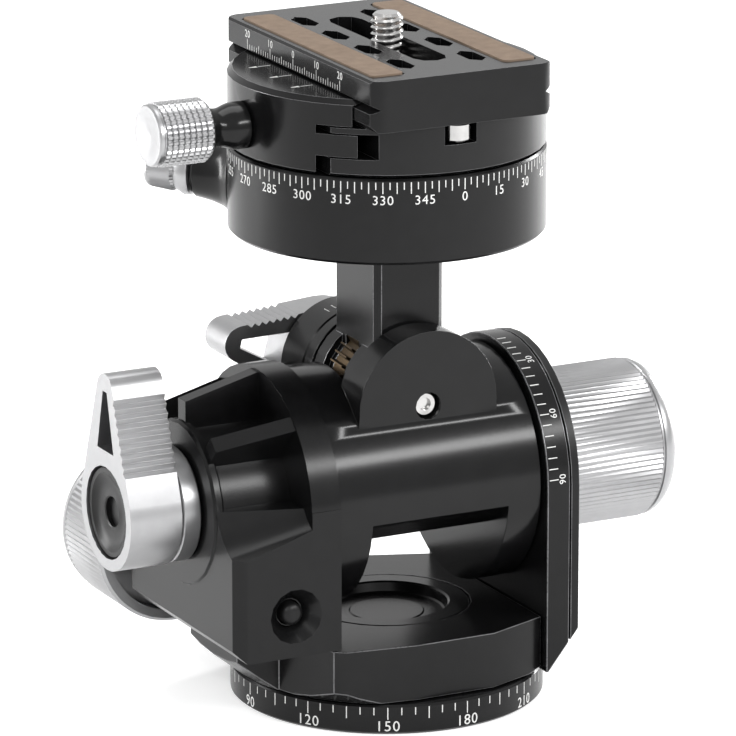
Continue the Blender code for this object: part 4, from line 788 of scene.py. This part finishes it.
class HEAD_OT_barrel(bpy.types.Operator):
    """Barrel that tips forward, with its arch, scale ring, wheel and spindle."""

    bl_idname = "head.barrel"
    bl_label = "Barrel"

    def execute(self, context):
        sizes = context.scene.head_sizes
        milled("barrel_body", "tilting_barrel", "barrel", ["gloss", "gloss"], sizes.edge * 3, 3, 46)
        carry(turned(SCALE_RING, "y", ROLL_AXIS, 128), "side_scale_ring", "barrel", ["black"], ["roll_scale_ring"])
        carry(joined(scale_ring_marks(sizes)), "side_scale_marks", "barrel", ["paint"])
        dress("tilt_worm_wheel", "brass")
        dress("right_worm_bush", "brass")
        dress("tilt_spindle", "steel")
        return {"FINISHED"}


def scale_ring_marks(sizes):
    """Three ticks on the rear scale ring, left of its top."""
    parts = []
    for angle in (100, 107, 114):
        line = tick(sizes.tick_width, 2.2 * MM, sizes.tick_proud)
        settle(line, Matrix.Rotation(math.radians(90), 4, "X"))
        settle(line, Matrix.Rotation(math.radians(180), 4, "Y"))
        settle(line, Matrix.Translation((0, 14.6 * MM, 12.8 * MM)))
        settle(line, Matrix.Rotation(math.radians(90 - angle), 4, "Y"))
        settle(line, Matrix.Translation(Vector(ROLL_AXIS) * MM))
        parts.append(line)
    return parts


class HEAD_OT_post(bpy.types.Operator):
    """Post that swings sideways, with its pin, wheel, drum and drum dial."""

    bl_idname = "head.post"
    bl_label = "Post and drum"

    def execute(self, context):
        sizes = context.scene.head_sizes
        milled("post", "swinging_post", "post", ["black", "worn"], sizes.edge)
        carry(turned(ROLL_PIN, "y", ROLL_AXIS, 64), "hinge_pin", "post", ["steel"], ["roll_pin"])
        drum = turned(DRUM, "z", sides=240)
        boss = turned(LOCK_BOSS, LOCK_AXIS, LOCK_CENTRE, 72)
        carry(joined([drum, boss]), "panning_drum", "post", ["black"], ["drum"])
        parts = dial_ticks(DRUM_DIAL, DRUM_DIAL_TURN, sizes.tick_width, sizes.tick_proud)
        values = [(330 + 15 * i) % 360 for i in range(24)]
        parts += ring_numbers(values, 15, DRUM_DIAL_TURN, 31.0, 106.8, sizes.dial_number * 0.8, sizes.tick_proud)
        carry(joined(parts), "drum_dial_marks", "post", ["paint"])
        dress("roll_worm_wheel", "brass")
        dress("pan_bush", "brass")
        dress("drum_bolt", "steel")
        return {"FINISHED"}


class HEAD_OT_pan_lock(bpy.types.Operator):
    """Small diamond-gripped knob that locks the top pan."""

    bl_idname = "head.pan_lock"
    bl_label = "Pan lock"

    def execute(self, context):
        low, pitch, rows = 43.0, 0.42, 11
        grip = [(4.3 - 0.06 * i, low + pitch * i) for i in range(rows)]
        profile = [(2.1, 44.4), (2.1, 38.9), (4.4, 38.9), (4.9, 39.3), (4.9, 40.6), (3.9, 42.3), *grip]
        profile += [(3.5, 47.9), (3.1, 48.4), (2.6, 48.4), (1.2, 48.1)]
        shape = studs(72, low * MM, (low + pitch * (rows - 1)) * MM, pitch * MM, 0.26 * MM, 4.2 * MM, 3.3 * MM)
        knob = turned(profile, LOCK_AXIS, LOCK_CENTRE, 72, shape)
        carry(knob, "pan_lock_grip", "pan_lock", ["silver"], ["pan_lock_knob"])
        dress("pan_lock_screw", "steel")
        return {"FINISHED"}


class HEAD_OT_clamp(bpy.types.Operator):
    """Clamp's fixed side, moving jaw, guide pins and springs."""

    bl_idname = "head.clamp"
    bl_label = "Clamp"

    def execute(self, context):
        sizes = context.scene.head_sizes
        milled("clamp_base", "clamp_disc", "clamp", ["gloss", "worn"], sizes.fine_edge)
        milled("moving_jaw", "sliding_jaw", "jaw", ["gloss", "worn"], sizes.fine_edge)
        carry(joined(clamp_marks(sizes)), "jaw_index_marks", "jaw", ["paint"])
        for name, node in (("front", "front_jaw_spring"), ("rear", "rear_jaw_spring")):
            carry(coil(node), name + "_return_coil", "clamp", ["steel"], [node])
        for name in ("front", "rear"):
            dress(name + "_guide_pin", "steel")
        return {"FINISHED"}


def coil(node):
    """A smooth spring in the place of its CAD form, along X."""
    low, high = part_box(node)
    wire = 0.3 * MM
    turns = 4
    middle = (low + high) / 2
    radius = (high.y - low.y) / 2 - wire
    select_none()
    bpy.ops.mesh.primitive_circle_add(vertices=12, radius=wire, fill_type="NOTHING")
    obj = bpy.context.active_object
    settle(obj, Matrix.Translation((radius, 0, 0)) @ Matrix.Rotation(math.radians(90), 4, "X"))
    only(obj)
    screw = obj.modifiers.new("coil", "SCREW")
    screw.angle = math.tau
    screw.iterations = turns
    screw.screw_offset = (high.x - low.x - wire * 2) / turns
    screw.steps = screw.render_steps = 24
    screw.use_merge_vertices = False
    bpy.ops.object.modifier_apply(modifier=screw.name)
    cap_ends(obj)
    settle(obj, Matrix.Translation((low.x + wire, middle.y, middle.z)) @ AXES["x"])
    smooth(obj, 50)
    return obj


class HEAD_OT_clamp_knob(bpy.types.Operator):
    """Clamp's gridded knob with its waisted neck and screw."""

    bl_idname = "head.clamp_knob"
    bl_label = "Clamp knob"

    def execute(self, context):
        low, pitch, rows, radius = -49.7, 1.22, 8, 6.3
        profile = [(0.3, -50.5), (4.6, -51.2), (5.7, -51.15), (6.0, -50.8), (6.0, -50.2), (5.85, -50.0)]
        profile.append((5.85, low))
        for i in range(rows):
            start = low + pitch * i
            profile += [(radius, start + 0.08), (radius, start + 0.92), (radius - 0.32, start + 1.07)]
        profile += [(5.9, -39.75), (5.6, -39.4), (3.3, -39.4), (3.3, -46.2)]
        end = low + pitch * rows
        shape = ribs(108, 3, (low + 0.02) * MM, end * MM, 0.36 * MM, radius * MM, 5.7 * MM)
        knob = turned(profile, "x", CLAMP_AXIS, 108, shape)
        carry(knob, "clamp_grip", "clamp_knob", ["silver"], ["clamp_knob"])
        carry(turned(NECK, "x", CLAMP_AXIS, 72), "clamp_collar", "clamp_knob", ["gloss"], ["clamp_neck"])
        dress("clamp_screw", "steel")
        return {"FINISHED"}


class HEAD_OT_plate(bpy.types.Operator):
    """Camera plate with its pads, stop screws and side scale."""

    bl_idname = "head.plate"
    bl_label = "Camera plate"

    def execute(self, context):
        sizes = context.scene.head_sizes
        coats = ["black", "worn"]
        milled("camera_plate", "slotted_plate", "plate", coats, sizes.fine_edge, whole=False)
        for side in ("left", "right"):
            milled(side + "_grip_strip", side + "_pad", "plate", ["cork", "cork"], sizes.fine_edge / 2)
        for side, place in (("front", -28.8), ("rear", 28.8)):
            shape = ribs(48, 2, 118.1 * MM, 120.6 * MM, 0.12 * MM, 2.7 * MM, 2.5 * MM)
            screw = turned(STOP_SCREW, "z", (0, place, 0), 48, shape)
            carry(screw, side + "_plate_stop", "plate", ["steel"], [side + "_stop_screw"])
        carry(joined(plate_marks(sizes)), "plate_scale_marks", "plate", ["paint"])
        return {"FINISHED"}


def plate_marks(sizes):
    """The straight scale on the plate's left side: ticks each 1 mm and five numbers."""
    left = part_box("camera_plate")[0].x
    parts = []
    for i in range(-20, 21):
        length = 2.0 if i % 10 == 0 else 1.5 if i % 5 == 0 else 1.0
        line = tick(sizes.tick_width * 0.8, length * MM, sizes.tick_proud)
        settle(line, Matrix.Rotation(math.radians(-90), 4, "Z"))
        settle(line, Matrix.Translation((left, (i + PLATE_SCALE_SHIFT) * MM, (126.75 + length) * MM)))
        parts.append(line)
    for i in range(-2, 3):
        mark = number(str(abs(i) * 10), 1.5 * MM, sizes.tick_proud)
        settle(mark, Matrix.Rotation(math.radians(-90), 4, "Z"))
        settle(mark, Matrix.Translation((left, (i * 10 + PLATE_SCALE_SHIFT) * MM, 129.65 * MM)))
        parts.append(mark)
    return parts


def clamp_marks(sizes):
    """Three index marks on the fixed side's top, beside the plate: a wedge and a line each."""
    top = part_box("clamp_base")[1].z
    flat = Matrix.Rotation(math.radians(-90), 4, "Y") @ Matrix.Rotation(math.radians(90), 4, "Z")
    parts = []
    for place in (9.2, 0.0, -9.2):
        line = tick(sizes.tick_width, 2.6 * MM, sizes.tick_proud)
        settle(line, flat)
        settle(line, Matrix.Translation((-23.2 * MM, place * MM, top)))
        wedge = tick(0.9 * MM, 1.7 * MM, sizes.tick_proud)
        editing(wedge)
        pick(wedge, lambda p: p.z > -0.5 * MM)
        bpy.ops.transform.resize(value=(0.2, 1, 1), center_override=(0, 0, 0))
        done()
        settle(wedge, flat)
        settle(wedge, Matrix.Translation((-25.2 * MM, place * MM, top)))
        parts += [line, wedge]
    return parts


class HEAD_OT_camera_screw(bpy.types.Operator):
    """Quarter-inch camera screw with a real thread."""

    bl_idname = "head.camera_screw"
    bl_label = "Camera screw"

    def execute(self, context):
        core = turned(SCREW_CORE, "z", sides=64)
        pitch, crest, root = 1.27 * MM, 3.175 * MM, 2.7 * MM
        select_none()
        bpy.ops.mesh.primitive_circle_add(vertices=3, radius=pitch * 0.42, fill_type="NOTHING")
        thread = bpy.context.active_object
        settle(thread, Matrix.Rotation(math.radians(90), 4, "X") @ Matrix.Rotation(math.radians(-90), 4, "Z"))
        low, high = (min(v.co.x for v in thread.data.vertices), max(v.co.x for v in thread.data.vertices))
        stretch = (crest - root) / (high - low)
        place = Matrix.Translation((crest - high * stretch, 0, 125.4 * MM))
        settle(thread, place @ Matrix.Diagonal((stretch, 1, 1, 1)))
        only(thread)
        screw = thread.modifiers.new("thread", "SCREW")
        screw.angle = math.tau
        screw.iterations = 8
        screw.screw_offset = pitch
        screw.steps = screw.render_steps = 48
        screw.use_merge_vertices = False
        bpy.ops.object.modifier_apply(modifier=screw.name)
        cap_ends(thread)
        smooth(thread, 40)
        carry(joined([core, thread]), "threaded_camera_screw", "camera_screw", ["steel"], ["camera_screw"])
        return {"FINISHED"}


# ---- stage ------------------------------------------------------------------------------------


class HEAD_OT_stage(bpy.types.Operator):
    """Pale floor, soft lamps, white surroundings and the camera."""

    bl_idname = "head.stage"
    bl_label = "Stage, light and camera"

    def execute(self, context):
        scene = context.scene
        select_none()
        bpy.ops.mesh.primitive_circle_add(vertices=96, radius=FLOOR_RADIUS, fill_type="NGON")
        floor = context.active_object
        editing(floor)
        bpy.ops.mesh.select_all(action="SELECT")
        bpy.ops.mesh.inset(thickness=FLOOR_RADIUS * 0.3)
        done()
        settle(floor, Matrix.Translation((0, 0, -0.00002)))
        floor.name = floor.data.name = "pale_floor"
        floor.data.materials.append(floor_finish())
        light_world(scene)
        for name, place, wide, high, power in LAMPS:
            lamp = bpy.data.lights.new(name, "AREA")
            lamp.shape = "RECTANGLE"
            lamp.size, lamp.size_y, lamp.energy = wide, high, power
            obj = bpy.data.objects.new(name, lamp)
            scene.collection.objects.link(obj)
            obj.location = place
            aim = Vector((0, 0, LAMP_AIM)) - Vector(place)
            obj.rotation_euler = aim.to_track_quat("-Z", "Y").to_euler()
        scene.view_settings.view_transform = "Standard"
        place_camera(scene)
        return {"FINISHED"}


def seen(tree):
    """One for camera, glossy and transmission rays."""
    path = tree.nodes.new("ShaderNodeLightPath")
    total = None
    for output in ("Is Camera Ray", "Is Glossy Ray", "Is Transmission Ray"):
        if total is None:
            total = path.outputs[output]
            continue
        add = tree.nodes.new("ShaderNodeMath")
        add.operation = "MAXIMUM"
        tree.links.new(total, add.inputs[0])
        tree.links.new(path.outputs[output], add.inputs[1])
        total = add.outputs["Value"]
    return total


def floor_finish():
    made, tree, shader = new_finish("pale_floor")
    shader.inputs["Base Color"].default_value = (0.86, 0.86, 0.86, 1)
    shader.inputs["Roughness"].default_value = 0.9
    shader.inputs["Specular IOR Level"].default_value = 0.1
    rough(tree, shader, grain(tree, 60, 2), 0.05, 1e-4)
    shader.inputs["Emission Color"].default_value = (1, 1, 1, 1)
    lift = tree.nodes.new("ShaderNodeMath")
    lift.operation = "MULTIPLY"
    lift.inputs[1].default_value = 0.35
    tree.links.new(seen(tree), lift.inputs[0])
    tree.links.new(lift.outputs["Value"], shader.inputs["Emission Strength"])
    return made


def light_world(scene):
    world = bpy.data.worlds.new("white_room")
    scene.world = world
    world.use_nodes = True
    tree = world.node_tree
    back = tree.nodes["Background"]
    back.inputs["Color"].default_value = (1, 1, 1, 1)
    tree.links.new(spread(tree, seen(tree), 0.5, 1.0, (0, 1)), back.inputs["Strength"])


def place_camera(scene):
    """Puts the camera at the photograph's view."""
    turn, lift = math.radians(VIEW_TURN), math.radians(VIEW_LIFT)
    back = Vector((math.sin(turn) * math.cos(lift), -math.cos(turn) * math.cos(lift), math.sin(lift)))
    right = Vector((math.cos(turn), math.sin(turn), 0))
    camera = bpy.data.cameras.new("photo_camera")
    camera.sensor_width = SENSOR
    camera.lens = FOCAL_SHARE * SENSOR
    obj = bpy.data.objects.new("photo_camera", camera)
    scene.collection.objects.link(obj)
    matrix = Matrix((right, back.cross(right), back)).transposed().to_4x4()
    matrix.translation = Vector(VIEW_TARGET) + back * VIEW_AWAY
    obj.matrix_world = matrix
    scene.camera = obj


class HEAD_PT_pieces(bpy.types.Panel):
    """Lists the sizes, the colours and the pieces."""

    bl_idname = "HEAD_PT_pieces"
    bl_label = "Geared head"
    bl_space_type = "VIEW_3D"
    bl_region_type = "UI"
    bl_category = "Geared head"

    def draw(self, context):
        for group in (context.scene.head_sizes, context.scene.head_colours):
            for name in group.__annotations__:
                self.layout.prop(group, name)
        for operator in OPERATORS:
            self.layout.operator(operator.bl_idname)


OPERATORS = (
    HEAD_OT_stage, HEAD_OT_base, HEAD_OT_floor, HEAD_OT_left_housing, HEAD_OT_right_side, HEAD_OT_left_knob,
    HEAD_OT_right_knob, HEAD_OT_levers, HEAD_OT_barrel, HEAD_OT_post, HEAD_OT_pan_lock, HEAD_OT_clamp,
    HEAD_OT_clamp_knob, HEAD_OT_plate, HEAD_OT_camera_screw,
)
CLASSES = (HeadSizes, HeadColours, *OPERATORS, HEAD_PT_pieces)


def register():
    for item in CLASSES:
        bpy.utils.register_class(item)
    bpy.types.Scene.head_sizes = bpy.props.PointerProperty(type=HeadSizes)
    bpy.types.Scene.head_colours = bpy.props.PointerProperty(type=HeadColours)


def unregister():
    del bpy.types.Scene.head_colours
    del bpy.types.Scene.head_sizes
    for item in reversed(CLASSES):
        bpy.utils.unregister_class(item)


def main():
    register()
    for operator in OPERATORS:
        group, name = operator.bl_idname.split(".")
        getattr(getattr(bpy.ops, group), name)()


if __name__ == "__main__":
    main()
